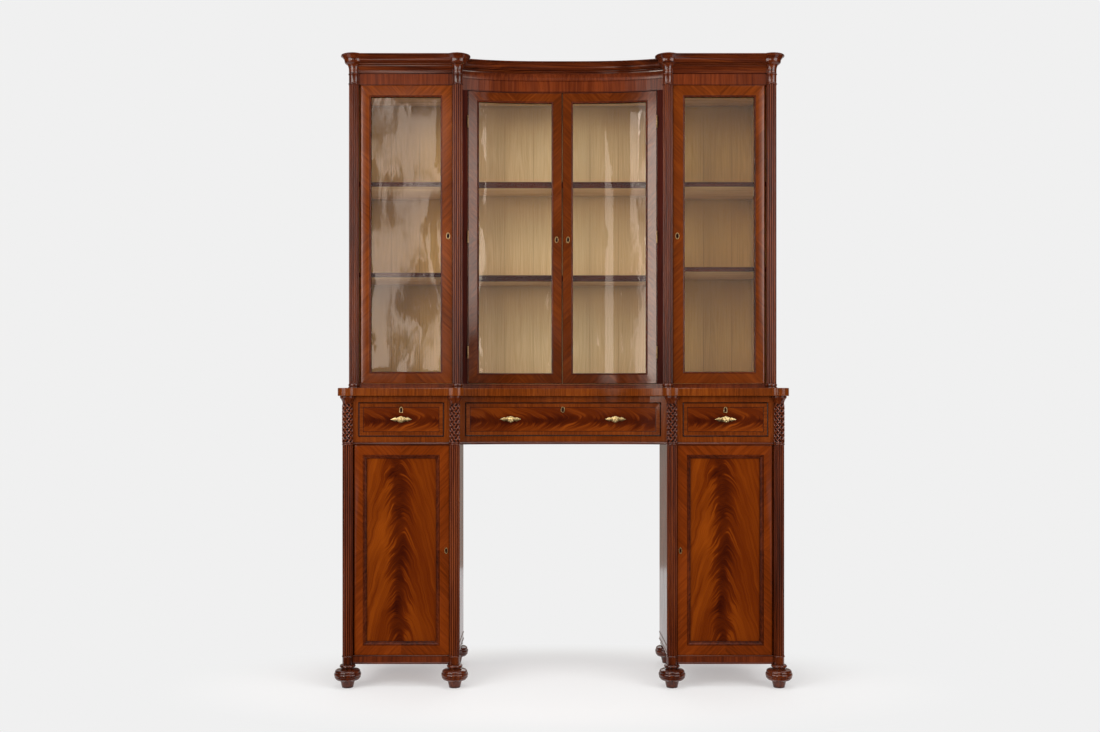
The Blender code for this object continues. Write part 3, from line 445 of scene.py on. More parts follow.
class Tree(Nodes):
    """A Geometry Nodes tree with named sizes, run once into a plain mesh."""

    def __init__(self, name: str, **sizes: float | int) -> None:
        """Starts a tree with one input for each size, whole numbers as whole-number inputs."""
        super().__init__(bpy.data.node_groups.new(name, "GeometryNodeTree"))
        self.sizes = sizes
        self.tree.interface.new_socket("Geometry", in_out="OUTPUT", socket_type="NodeSocketGeometry")
        for title, size in sizes.items():
            kind = "NodeSocketInt" if isinstance(size, int) else "NodeSocketFloat"
            self.tree.interface.new_socket(title, in_out="INPUT", socket_type=kind)
        held = self.tree.nodes.new("NodeGroupInput").outputs
        self.inputs = [Term(self, held[title]) for title in sizes]
        self.index = self.node("GeometryNodeInputIndex")

    def circle(self, angle: Term, radius: Term, level: object) -> Term:
        """Returns a place on a level circle."""
        return self.vector(self.maths("COSINE", angle) * radius, self.maths("SINE", angle) * radius, level)

    def turn(self, axis: Point, angle: object) -> Term:
        """Returns a rotation about an axis."""
        return self.node("FunctionNodeAxisAngleToRotation", {"Axis": axis, "Angle": angle})

    def stand(self, item: Term, count: Term, place: Term, **more: object) -> bpy.types.Mesh:
        """Stands copies of an item at places that follow from their index.

        Args:
            item: What is copied.
            count: How many copies there are.
            place: Where each stands.
            more: Its Rotation and Scale, where it has them.

        Returns:
            A plain mesh of its own, with no modifier left.
        """
        points = self.node("GeometryNodePoints", {"Count": count, "Position": place})
        placed = self.node("GeometryNodeInstanceOnPoints", {"Points": points, "Instance": item, **more})
        real = self.node("GeometryNodeRealizeInstances", {0: placed})
        self.feed(self.tree.nodes.new("NodeGroupOutput").inputs[0], real)
        carrier = put(self.tree.name, bpy.data.meshes.new(self.tree.name))
        modifier = carrier.modifiers.new(self.tree.name, "NODES")
        modifier.node_group = self.tree
        for socket in self.tree.interface.items_tree:
            if socket.in_out == "INPUT":
                modifier[socket.identifier] = self.sizes[socket.name]
        graph = bpy.context.evaluated_depsgraph_get()
        mesh = bpy.data.meshes.new_from_object(carrier.evaluated_get(graph))
        carrier.modifiers.remove(modifier)
        bpy.data.objects.remove(carrier, do_unlink=True)
        return mesh


class Graph(Nodes):
    """A material's nodes round its Principled shader."""

    def __init__(self, name: str) -> None:
        """Starts the material."""
        self.material = bpy.data.materials.new(name)
        self.material.use_nodes = True
        super().__init__(self.material.node_tree)
        self.shader = self.tree.nodes["Principled BSDF"]

    @property
    def where(self) -> Term:
        """The place in Object coordinates."""
        return self.node("ShaderNodeTexCoord", out="Object")

    def parts(self, vector: Term) -> tuple[Term, ...]:
        """Returns a vector's three values."""
        made = self.node("ShaderNodeSeparateXYZ", {0: vector})
        return tuple(Term(self, value) for value in made.socket.node.outputs)

    def place(self, grain: Grain | None) -> Term:
        """Returns the distances along, across and into the wood, in metres.

        Args:
            grain: The fibres' direction for a CAD node, or None to read the piece's own grain.
        """
        if grain is None:
            return self.node("ShaderNodeAttribute", out="Vector", attribute_name="grain")
        kind, where, values = "ShaderNodeVectorMath", self.where, []
        for axis in grain.value:
            values.append(self.node(kind, {0: where, 1: axis}, "Value", operation="DOT_PRODUCT"))
        return self.vector(*values)

    def boarded(self, boards: Boards) -> Term:
        """Returns the place in the wood, with the grain that suits the way each face looks."""
        facing = self.parts(self.node("ShaderNodeNewGeometry", out="True Normal"))
        common = boards.value[1]
        found = self.place(common)
        for axis in (0, 2):
            if boards.value[axis] != common:
                looks = self.maths("GREATER_THAN", self.maths("ABSOLUTE", facing[axis]), 0.7)
                feeds = {0: looks, 4: found, 5: self.place(boards.value[axis])}
                found = self.node("ShaderNodeMix", feeds, 1, data_type="VECTOR")
        return found

    def noise(self, place: Term, scale: Point, detail: float = 2.0, bend: float = 0.0) -> Term:
        """Returns a noise of 0 to 1 at a scale of its own for each axis."""
        stretched = self.node("ShaderNodeVectorMath", {0: place, 1: scale}, operation="MULTIPLY")
        feeds = {"Vector": stretched, "Scale": 1.0, "Detail": detail, "Distortion": bend}
        return self.node("ShaderNodeTexNoise", feeds)

    def ease(self, value: Term, start: float, end: float, low: float = 0.0, high: float = 1.0) -> Term:
        """Returns a smooth step from low to high as the value goes from start to end."""
        feeds = {"Value": value, "From Min": start, "From Max": end, "To Min": low, "To Max": high}
        return self.node("ShaderNodeMapRange", feeds, interpolation_type="SMOOTHSTEP")

    def mix(self, factor: object, first: object, second: object, mode: str = "MIX") -> Term:
        """Returns a mix of two colours."""
        feeds = {0: factor, 6: first, 7: second}
        return self.node("ShaderNodeMix", feeds, 2, data_type="RGBA", blend_type=mode)

    def ramp(self, value: Term, *stops: tuple[float, Rgb]) -> Term:
        """Returns the colour at a value, between stops."""
        made = self.node("ShaderNodeValToRGB", {0: value})
        elements = made.socket.node.color_ramp.elements
        while len(elements) < len(stops):
            elements.new(0.5)
        for element, (position, colour) in zip(elements, stops):
            element.position = position
            element.color = linear(colour)
        return made

    def grime(self, colour: Term, reach: float, depth: float) -> Term:
        """Paints shade into a colour in corners and hollows, by ambient occlusion, together with the old
        polish that gathers there.
        """
        hollow = self.node("ShaderNodeAmbientOcclusion", {"Distance": reach}, "AO", samples=6)
        shade = self.ease(hollow, 0.25, 0.85, 1 - depth, 1.0)
        return self.mix(1.0, colour, self.vector(shade, shade, shade), "MULTIPLY")

    def inside(self, low: Point, high: Point, hollow: bool = False) -> Term:
        """Returns 1 within a box in Object coordinates and 0 outside it.

        Args:
            low: The box's lowest corner.
            high: Its highest corner.
            hollow: Whether its front follows the hollow centre.
        """
        where = list(self.parts(self.where))
        if hollow:
            share = self.maths("ABSOLUTE", where[0]) / PLAN.centre_half
            where[1] = where[1] + (share**3.0 * PLAN.rise - PLAN.recess)
        held = []
        for value, start, end in zip(where, low, high):
            held.append(self.maths("COMPARE", value, (start + end) / 2, (end - start) / 2))
        return held[0] * held[1] * held[2]

    def show(self, feeds: dict[str, object]) -> Material:
        """Feeds the shader's inputs and returns the material."""
        for title, value in feeds.items():
            self.feed(self.shader.inputs[title], value)
        return self.material

    def polish(self, colour: object, roughness: object, height: Term, relief: float, more: dict) -> Material:
        """Gives the shader its surface.

        Args:
            colour: The base colour.
            roughness: How dull the surface is.
            height: The relief's height, 0 to 1.
            relief: What a height of 1 stands for, in metres.
            more: Constants for its other inputs.

        Returns:
            The material.
        """
        bump = self.node("ShaderNodeBump", {"Height": height, "Distance": relief, "Strength": 1.0})
        return self.show({"Base Color": colour, "Roughness": roughness, "Normal": bump, **more})

    def give_way(self, share: Term, other: Term) -> Material:
        """Lets another shader take over by a share and returns the material."""
        own = Term(self, self.shader.outputs[0])
        mixed = self.node("ShaderNodeMixShader", {0: share, 1: own, 2: other})
        self.feed(self.tree.nodes["Material Output"].inputs["Surface"], mixed)
        return self.material


@dataclass(frozen=True)
class Wood:
    """A polished wood: three tones of its grain, and how it is finished."""

    name: str
    dark: Rgb
    middle: Rgb
    light: Rgb
    streaks: float = 130
    run: float = 3.0
    roughness: float = 0.10
    gloss: float = 0.3
    coat: float = 0.0
    # How deep the painted shade and old polish in corners and hollows go.
    grime: float = 0.55

    def tone(self, graph: Graph, place: Term) -> tuple[Term, Term]:
        """Returns the wood's colour and the height of its open grain, at a place in the wood."""
        along, across, depth = graph.parts(place)
        bent = graph.vector(along, graph.noise(place, (2.2, 7.0, 7.0), 2) * 0.05 + across, depth)
        streak = graph.noise(bent, (self.run, self.streaks, self.streaks), 3, 0.4)
        fine = graph.noise(bent, (self.run * 5, self.streaks * 5, self.streaks * 5), 3)
        level = streak * 0.62 + fine * 0.26 + graph.noise(place, (1.3, 5.0, 5.0), 1) * 0.42
        colour = graph.ramp(level, (0.47, self.dark), (0.64, self.middle), (0.83, self.light))
        pores = graph.ease(graph.noise(bent, (45.0, 1300.0, 1300.0), 1), 0.60, 0.72)
        return graph.mix(pores * 0.45, colour, linear(self.dark)), fine - pores

    @cache
    def material(self, grain: Grain | Boards | None = None, rooms: tuple["Room", ...] = ()) -> Material:
        """Returns this wood as a material, made once for each grain and set of rooms.

        Args:
            grain: How a CAD node's wood lies, or None for a piece with its own grain.
            rooms: Boxes of space whose walls have another wood.
        """
        title = [self.name, grain.name.lower() if grain else "laid", *(room.name for room in rooms)]
        graph = Graph("_".join(title))
        place = graph.boarded(grain) if isinstance(grain, Boards) else graph.place(grain)
        colour, height = self.tone(graph, place)
        uneven = graph.noise(place, (6.0, 20.0, 20.0), 3)
        rough = graph.ease(uneven, 0.3, 0.7, self.roughness - 0.02, self.roughness + 0.03)
        for room in rooms:
            within = graph.inside(room.low, room.high, room.hollow)
            colour = graph.mix(within, colour, room.wood.tone(graph, place)[0])
            rough = within * (room.wood.roughness - self.roughness) + rough
        more = {GLOSS: self.gloss, "Coat Weight": self.coat, "Coat Roughness": 0.08}
        # Painted shade and old polish darken the corners and hollows.
        return graph.polish(graph.grime(colour, 0.014, self.grime), rough, height, 0.000004, more)


@dataclass(frozen=True)
class Room:
    """A space inside a case, and the wood of its walls."""

    name: str
    low: Point
    high: Point
    wood: Wood
    hollow: bool = False


CASE = Wood("case_mahogany", (66, 24, 7), (90, 35, 10), (112, 48, 17), 110, roughness=0.20)
VENEER = Wood("banding_mahogany", (80, 33, 7), (102, 44, 10), (124, 58, 16), 150, run=8, gloss=0.35)
CENTRE_VENEER = Wood("centre_banding", (66, 26, 5), (88, 36, 8), (110, 50, 14), 150, run=8, gloss=0.38)
DOOR_VENEER = Wood("pedestal_banding", (84, 32, 4), (104, 41, 6), (126, 54, 11), 150, run=8)
CROSS_VENEER = Wood("edge_banding", (76, 32, 6), (104, 46, 10), (130, 64, 18), 170, run=10)
TURNED = Wood(
    "turned_mahogany", (42, 14, 5), (76, 28, 8), (104, 46, 15), roughness=0.12, gloss=0.4, coat=0.1, grime=0.8
)
REEDED = Wood(
    "reeded_mahogany", (52, 19, 7), (88, 34, 11), (118, 54, 20), roughness=0.20, gloss=0.25, grime=0.9
)
ROPE = Wood("carved_mahogany", (58, 20, 7), (92, 36, 11), (122, 56, 22), roughness=0.14, gloss=0.6, grime=0.9)
# Near-black groove wood: painted shade in the hollows between reeds and at the centre doors' meeting edges.
GROOVE_SHADE = Wood("groove_mahogany", (24, 8, 4), (34, 12, 6), (46, 18, 9), roughness=0.5, gloss=0.1, grime=0.8)
# Near-black, dull wood for the posts beside the centre doors: painted shade.
SHADED_POST = Wood("post_mahogany", (42, 11, 6), (58, 16, 8), (76, 23, 11), roughness=0.5, gloss=0.04, grime=0.8)
MOULDING = Wood("door_moulding", (50, 17, 5), (78, 29, 9), (106, 45, 17), roughness=0.22, gloss=0.15)
# Near-black wood for real stringing lines, and for painted shade in keyholes, gaps round drawers and the dark
# edges of beads.
DARK_LINE_AND_SHADE = Wood("dark_stringing", (22, 9, 6), (36, 15, 9), (50, 22, 13), 160, roughness=0.2, grime=0.3)
LIPPING = Wood("shelf_lipping", (44, 13, 3), (64, 21, 5), (86, 32, 8), roughness=0.4, gloss=0.0, grime=0.9)
INSIDE = Wood("inside_wood", (176, 136, 88), (202, 164, 114), (222, 188, 140), 45, roughness=0.55, grime=0.25)
SHELF = Wood("shelf_wood", (184, 146, 98), (208, 172, 122), (226, 194, 146), 45, roughness=0.5, grime=0.25)


@dataclass(frozen=True)
class Softwood:
    """Pale boards with the pointed arches of growth rings, and painted shade that makes them browner high in
    each bay.
    """

    name: str = "back_boards"
    pale: Rgb = (232, 202, 154)
    ring: Rgb = (210, 174, 122)
    seam: Rgb = (182, 143, 90)
    brown: Rgb = (146, 104, 52)
    board: float = 0.118
    bleach: float = 0.70
    bays: tuple[tuple[Pair, tuple[Pair, ...]], ...] = ()

    def _faded(self, graph: Graph, colour: Term) -> Term:
        """Paints shade on the boards: browner high in each bay, below the shelf or top above it."""
        up = graph.parts(graph.where)[2]
        for (near, far), levels in self.bays:
            for low, high in levels:
                # Painted shade, deepest just under each shelf and the top.
                shade = graph.ease(up, low + (high - low) * 0.25, high, 0.0, self.bleach)
                within = graph.inside((near, -1.0, low), (far, 1.0, high))
                colour = graph.mix(shade * within, colour, linear(self.brown))
        return colour

    @cache
    def material(self) -> Material:
        """Returns the boards as a material on Object coordinates."""
        graph = Graph(self.name)
        place = graph.place(Grain.UPRIGHT)
        along, across, _ = graph.parts(place)
        number = graph.maths("FLOOR", across / self.board)
        offset = number * -self.board + across - self.board * 0.5
        lift = graph.noise(graph.vector(number, 0.0, 0.0), (3.7, 1, 1), 0) * 9.0 + along * 0.055
        aside = (graph.noise(place, (3.0, 9.0, 0.0), 2) - 0.5) * 0.05 + offset
        distance = graph.maths("SQRT", aside**2.0 + graph.maths("PINGPONG", lift, 0.05) ** 2.0)
        fibres = graph.noise(place, (4.0, 260.0, 60.0), 3)
        level = graph.maths("SINE", distance * 900.0) * 0.06 + fibres
        colour = self._faded(graph, graph.ramp(level, (0.26, self.ring), (0.64, self.pale)))
        patch = graph.ease(graph.noise(place, (2.0, 4.0, 4.0), 2), 0.35, 0.75, 0.0, 0.4)
        seam = graph.ease(graph.maths("ABSOLUTE", offset / self.board), 0.485, 0.498)
        colour = graph.mix(seam, graph.mix(patch, colour, linear(self.ring)), linear(self.seam))
        # Painted shade darkens the boards' corners.
        return graph.polish(graph.grime(colour, 0.03, 0.3), 0.62, fibres, 0.0001, {GLOSS: 0.3})


@dataclass(frozen=True)
class Flame:
    """Crotch veneer: a dark plume with arches of grain that rise to it and fall away outwards."""

    name: str
    centre: Point
    grain: Grain
    # Which half of the figure gets the painted sheen.
    hand: float = -1.0
    plume: float = 0.024
    fall: float = 11.5
    power: float = 1.75
    gloss: float = 0.35
    dark: Rgb = (50, 11, 3)
    middle: Rgb = (94, 34, 3)
    light: Rgb = (142, 66, 9)

    @cache
    def material(self) -> Material:
        """Returns the veneer as a material on Object coordinates, centred on its panel."""
        graph = Graph(self.name)
        feeds = {0: graph.place(self.grain), 1: self.centre}
        moved = graph.node("ShaderNodeVectorMath", feeds, operation="SUBTRACT")
        along, across, _ = graph.parts(moved)
        wander = graph.noise(moved, (5.0, 0.5, 0.0), 4) - 0.5
        spine = wander * (self.plume * 2.4) + across + self.plume * 0.45
        out = graph.maths("SQRT", spine * spine + 0.00001)
        crest = out**self.power * self.fall + (graph.noise(moved, (5.0, 9.0, 0.0), 2) * 0.16 + along)
        field = graph.vector(crest, across, 0.0)
        arches = graph.noise(field, (11.0, 6.0, 0.0), 5, 0.9)
        hairs = graph.noise(field, (230.0, 14.0, 0.0), 3)
        level = hairs * 0.36 + arches * 0.40 + graph.noise(moved, (3.0, 8.0, 0.0), 2) * 0.32
        # Painted sheen: the figure is lighter on one half and flatter on the other, as crotch fibres catch
        # the light.
        side = spine * self.hand
        level = (0.50 - level) * graph.ease(side, -0.075, -0.01, 0.25, 0.0) + level
        feather = graph.ease(graph.noise(field, (48.0, 7.0, 0.0), 5, 0.75), 0.36, 0.64)
        width = feather * (self.plume * 1.6) + self.plume * 0.5
        deep = graph.ease(graph.noise(moved, (6.0, 1.0, 0.0), 2), 0.25, 0.6, 0.55, 1.0)
        level = level + graph.ease(out / width, 0.2, 1.5, -0.30, 0.0) * deep
        level = level + graph.ease(side, -0.08, 0.08, 0.0, 0.035)
        colour = graph.ramp(level, (0.20, self.dark), (0.50, self.middle), (0.76, self.light))
        rough = graph.ease(graph.noise(moved, (60.0, 900.0, 900.0), 1), 0.3, 0.7, 0.08, 0.12)
        # Painted shade darkens the veneer's corners.
        return graph.polish(graph.grime(colour, 0.010, 0.5), rough, hairs, 0.000006, {GLOSS: self.gloss})


@dataclass(frozen=True)
class Brass:
    """Old lacquered brass, browned where it isn't rubbed."""

    name: str = "old_brass"
    bright: Rgb = (236, 214, 158)
    worn: Rgb = (176, 142, 88)

    @cache
    def material(self) -> Material:
        """Returns the metal as a material on Object coordinates."""
        graph = Graph(self.name)
        spots = graph.noise(graph.place(Grain.UPRIGHT), (260.0, 260.0, 260.0), 4)
        # Painted shade and tarnish darken the brass's hollows.
        colour = graph.grime(graph.ramp(spots, (0.35, self.worn), (0.62, self.bright)), 0.004, 0.7)
        rough = graph.ease(spots, 0.3, 0.7, 0.42, 0.28)
        return graph.polish(colour, rough, spots, 0.00003, {"Metallic": 1.0})


@dataclass(frozen=True)
class OldGlass:
    """Thin old window glass, whose faces are slightly wavy."""

    name: str = "wavy_glass"
    tint: tuple[float, ...] = (0.97, 0.98, 0.96, 1.0)
    shadow: tuple[float, ...] = (0.93, 0.94, 0.92, 1.0)
    index: float = 1.5
    wave: float = 0.0017

    @cache
    def material(self) -> Material:
        """Returns the glass, which lets light through to what it covers."""
        graph = Graph(self.name)
        place = graph.place(Grain.UPRIGHT)
        quick = graph.noise(place, (14.0, 26.0, 4.0), 2)
        height = quick * 0.10 + graph.noise(place, (3.2, 7.0, 2.0), 1, 0.5)
        more = {"Transmission Weight": 1.0, "IOR": self.index}
        graph.polish(self.tint, graph.ease(quick, 0.2, 0.8, 0.0, 0.02), height, self.wave, more)
        clear = graph.node("ShaderNodeBsdfTransparent", {"Color": self.shadow})
        return graph.give_way(graph.either_ray("Shadow", "Diffuse"), clear)


def dress(node: str, material: Material) -> None:
    """Gives a CAD node that stays its finish."""
    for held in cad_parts[node].material_slots:
        held.material = material
    LOG.info("%s keeps its CAD shape in %s", node, material.name)


class Banding(Enum):
    """How the grain runs on a mitred frame's members."""

    QUARTERED = "with the nearest mitre"
    CROSSED = "straight across each member"
    LENGTHWISE = "along each member, as in a moulding"

    def grain(self, side: int, rising: bool) -> Grain:
        """Returns the grain on one of the four sides, where the nearest mitre rises or falls."""
        if self is Banding.QUARTERED:
            return Grain.RISING if rising else Grain.FALLING
        return Grain.UPRIGHT if (side % 2 == 0) == (self is Banding.CROSSED) else Grain.LEVEL


@dataclass(frozen=True)
class FlatFace:
    """Plan of a flat front, rounded about its pins where it has them."""

    front: float
    axis: float | None = None
    radius: float = PLAN.door / 2
    stations: Sequence[float] = (0.0, 0.5, 1.0)

    def __call__(self, x: float, depth: float) -> Pair:
        """Returns the plan point at x and a depth behind the face."""
        if self.axis is not None:
            past = (x - self.axis) * (1 if self.axis > 0 else -1)
            if past > 0:
                half = math.sqrt(max(self.radius**2 - past**2, 0.0))
                depth = min(max(depth, self.radius - half), self.radius + half)
        return x, self.front + depth


@dataclass(frozen=True)
class HollowFace:
    """Plan of a front that follows the hollow centre, relieved behind at the meeting edge."""

    front: float
    meeting: float | None = None
    relief: float = 0.0035
    reach: float = 0.006
    stations: Sequence[float] = tuple(index / 14 for index in range(15))

    def __call__(self, x: float, depth: float) -> Pair:
        """Returns the plan point at x and a depth behind the face."""
        y = PLAN.hollow(x, self.front) + depth
        if self.meeting is not None and depth > 0:
            near = max(0.0, 1 - abs(x - self.meeting) / self.reach)
            x += math.copysign(self.relief * near * depth / PLAN.door, self.meeting)
        return x, y


Face = FlatFace | HollowFace


@dataclass
class MitredFrame:
    """Four members round an opening, each a closed solid cut to a mitre at both ends."""

    low: Pair
    high: Pair
    members: Section
    face: Face
    banding: Banding

    def add_to(self, shape: Shape) -> None:
        """Adds the four members to a piece, in short lengths where the face bends."""
        x, z = (self.low[0] + self.high[0]) / 2, (self.low[1] + self.high[1]) / 2
        for side in range(4):
            rings = [self._ring(side, station) for station in self.face.stations]

            def paint(centre: Vector, index: int, side: int = side) -> tuple[Grain, int]:
                rising = (centre.x - x) * (centre.z - z) > 0
                return self.banding.grain(side, rising), self.members[index][2]

            shape.loft(rings, paint)

    def _ring(self, side: int, station: float) -> list[Point]:
        """Returns the section at a share of one member's length."""
        ring = []
        for inset, depth, _ in self.members:
            x0, z0 = self.low[0] + inset, self.low[1] + inset
            x1, z1 = self.high[0] - inset, self.high[1] - inset
            corners = ((x0, z0), (x1, z0), (x1, z1), (x0, z1))
            start, end = corners[side], corners[(side + 1) % 4]
            x, z = (a + (b - a) * station for a, b in zip(start, end))
            ring.append((*self.face(x, depth), z))
        return ring


@dataclass(frozen=True)
class DoorMember:
    """The section of a door's member, from its outer edge to the sight line and back behind.

    Finish 0 is the banding, 1 a dark line that is partly painted shade, 2 the moulding and 3 a dark edge
    of painted shade where the doors meet. The moulding's places are measured from the sight line.
    """

    sight: float
    moulding: Section
    edge: int = 0
    insets: Sequence[float] = (0.0008, 0.0025, 0.005, 0.008, 0.011)
    lap: float = 0.006
    rebate: float = 0.010

    def rows(self) -> Section:
        """Returns the section."""
        thick, ease, inner = PLAN.door, self.insets[0], self.sight - self.lap
        front = [(0.0, ease, self.edge), (ease, 0.0, self.edge)]
        front += [(inset, 0.0, 0) for inset in self.insets[1:]]
        beads = [(self.sight + at, depth, slot) for at, depth, slot in self.moulding]
        back = [(inner, self.rebate, 0), (inner, thick, 0)]
        back += [(inset, thick, 0) for inset in reversed(self.insets)]
        return [*front, *beads, *back, (0.0, thick - ease, 0)]


# Its finish-1 marks are partly dark beading and partly painted shade at the glass's edge.
SIGHT_BEAD = section(
    *((-7.2, 0, 1), (-6.8, 0.7, 1), (-6.2, 0.1, 2), (-4.8, -0.6, 2)),
    *((-3, -0.1, 2), (-1.4, 1.8, 1), (-0.4, 4.8, 1), (0, 10, 1)),
)
# Its finish-1 marks are partly dark beading and partly painted shade at the moulding's edges.
PANEL_BEADS = section(
    *((-14, 0, 1), (-13.5, 1, 1), (-13, 0, 2), (-11.8, -1.2, 2), (-10.4, -1, 2)),
    *((-9.6, 0.4, 2), (-8.2, 3, 2), (-6, 5.2, 2), (-3.6, 6.2, 2), (-3.2, 5, 2)),
    *((-2, 4.6, 2), (-0.8, 5.8, 1), (-0.2, 8, 1), (0, 10, 1)),
)
ROUND_STATIONS = (0.0, 0.004, 0.010, 0.018, 0.030, 0.5, 0.970, 0.982, 0.990, 0.996, 1.0)


def pinned_frame(body: str, sign: int, front: float, levels: Pair, member: DoorMember, wood: Wood) -> None:
    """Makes the frame of a flat door that turns on pins in its rounded outer edge.

    Args:
        body: The door's body, which also names its CAD frame.
        sign: -1 on the left and 1 on the right.
        front: Y of the door's face.
        levels: The bottom and top of its opening.
        member: Its members.
        wood: What it is veneered with.
    """
    low, high = levels[0] + PLAN.gap, levels[1] - PLAN.gap
    near, far = PLAN.bay(sign, PLAN.gap)
    axis, radius, sunk, proud = sign * PLAN.pin_axis, 0.003, 0.004, 0.005
    shape = Shape(f"{body}_banded_frame")
    face = FlatFace(front, axis, stations=ROUND_STATIONS)
    MitredFrame((near, low), (far, high), member.rows(), face, Banding.QUARTERED).add_to(shape)
    for start, end in ((low - proud, low + sunk), (high - sunk, high + proud)):
        shape.turn(axis, front + PLAN.door / 2, barrel(radius, start, end))
    woods = [wood.material(), DARK_LINE_AND_SHADE.material(), MOULDING.material()]
    shape.finish(body, woods, [f"{body}_frame"])


@dataclass
class TurnedFeet:
    """Eight bun feet with a bead above and fine rings cut round the bun."""

    steps: int = 64
    profile: Sequence[Pair] = mm(
        *((22.0, 86.2), (26.2, 85.5), (28.4, 83.8), (29.8, 81.2), (29.8, 79.0), (28.4, 76.8), (25.2, 75.4)),
        *((24.5, 74.0), (24.6, 72.2), (26.2, 70.6), (30.0, 69.4), (37.0, 68.4), (42.5, 66.6), (45.8, 64.0)),
        *((47.4, 60.8), (47.6, 58.2), (46.6, 57.0), (46.6, 56.2), (48.4, 55.4), (50.0, 52.8), (50.5, 49.2)),
        *((50.3, 45.8), (49.4, 44.0), (48.0, 43.2), (47.9, 42.4), (48.8, 41.4), (48.6, 38.4), (47.0, 35.4)),
        *((45.2, 33.8), (43.4, 33.1), (43.1, 32.3), (43.4, 31.4), (41.4, 29.8), (36.6, 28.1), (30.6, 26.8)),
        *((27.4, 25.6), (26.4, 23.6), (25.6, 20.0), (23.8, 12.4), (22.0, 5.0), (21.3, 0.8), (20.6, 0.0)),
    )

    def build(self) -> None:
        """Turns the feet under both pedestals."""
        for depth in ("front", "back"):
            for where in ("outer", "inner"):
                for side in SIDES:
                    self._foot(f"{depth}_foot_{where}_{side}")

    def _foot(self, node: str) -> None:
        """Turns a foot about its CAD foot's axis."""
        low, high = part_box(node)
        shape = Shape(f"turned_{node}")
        shape.turn((low.x + high.x) / 2, (low.y + high.y) / 2, self.profile, self.steps)
        shape.finish("carcase", [TURNED.material()], [node])


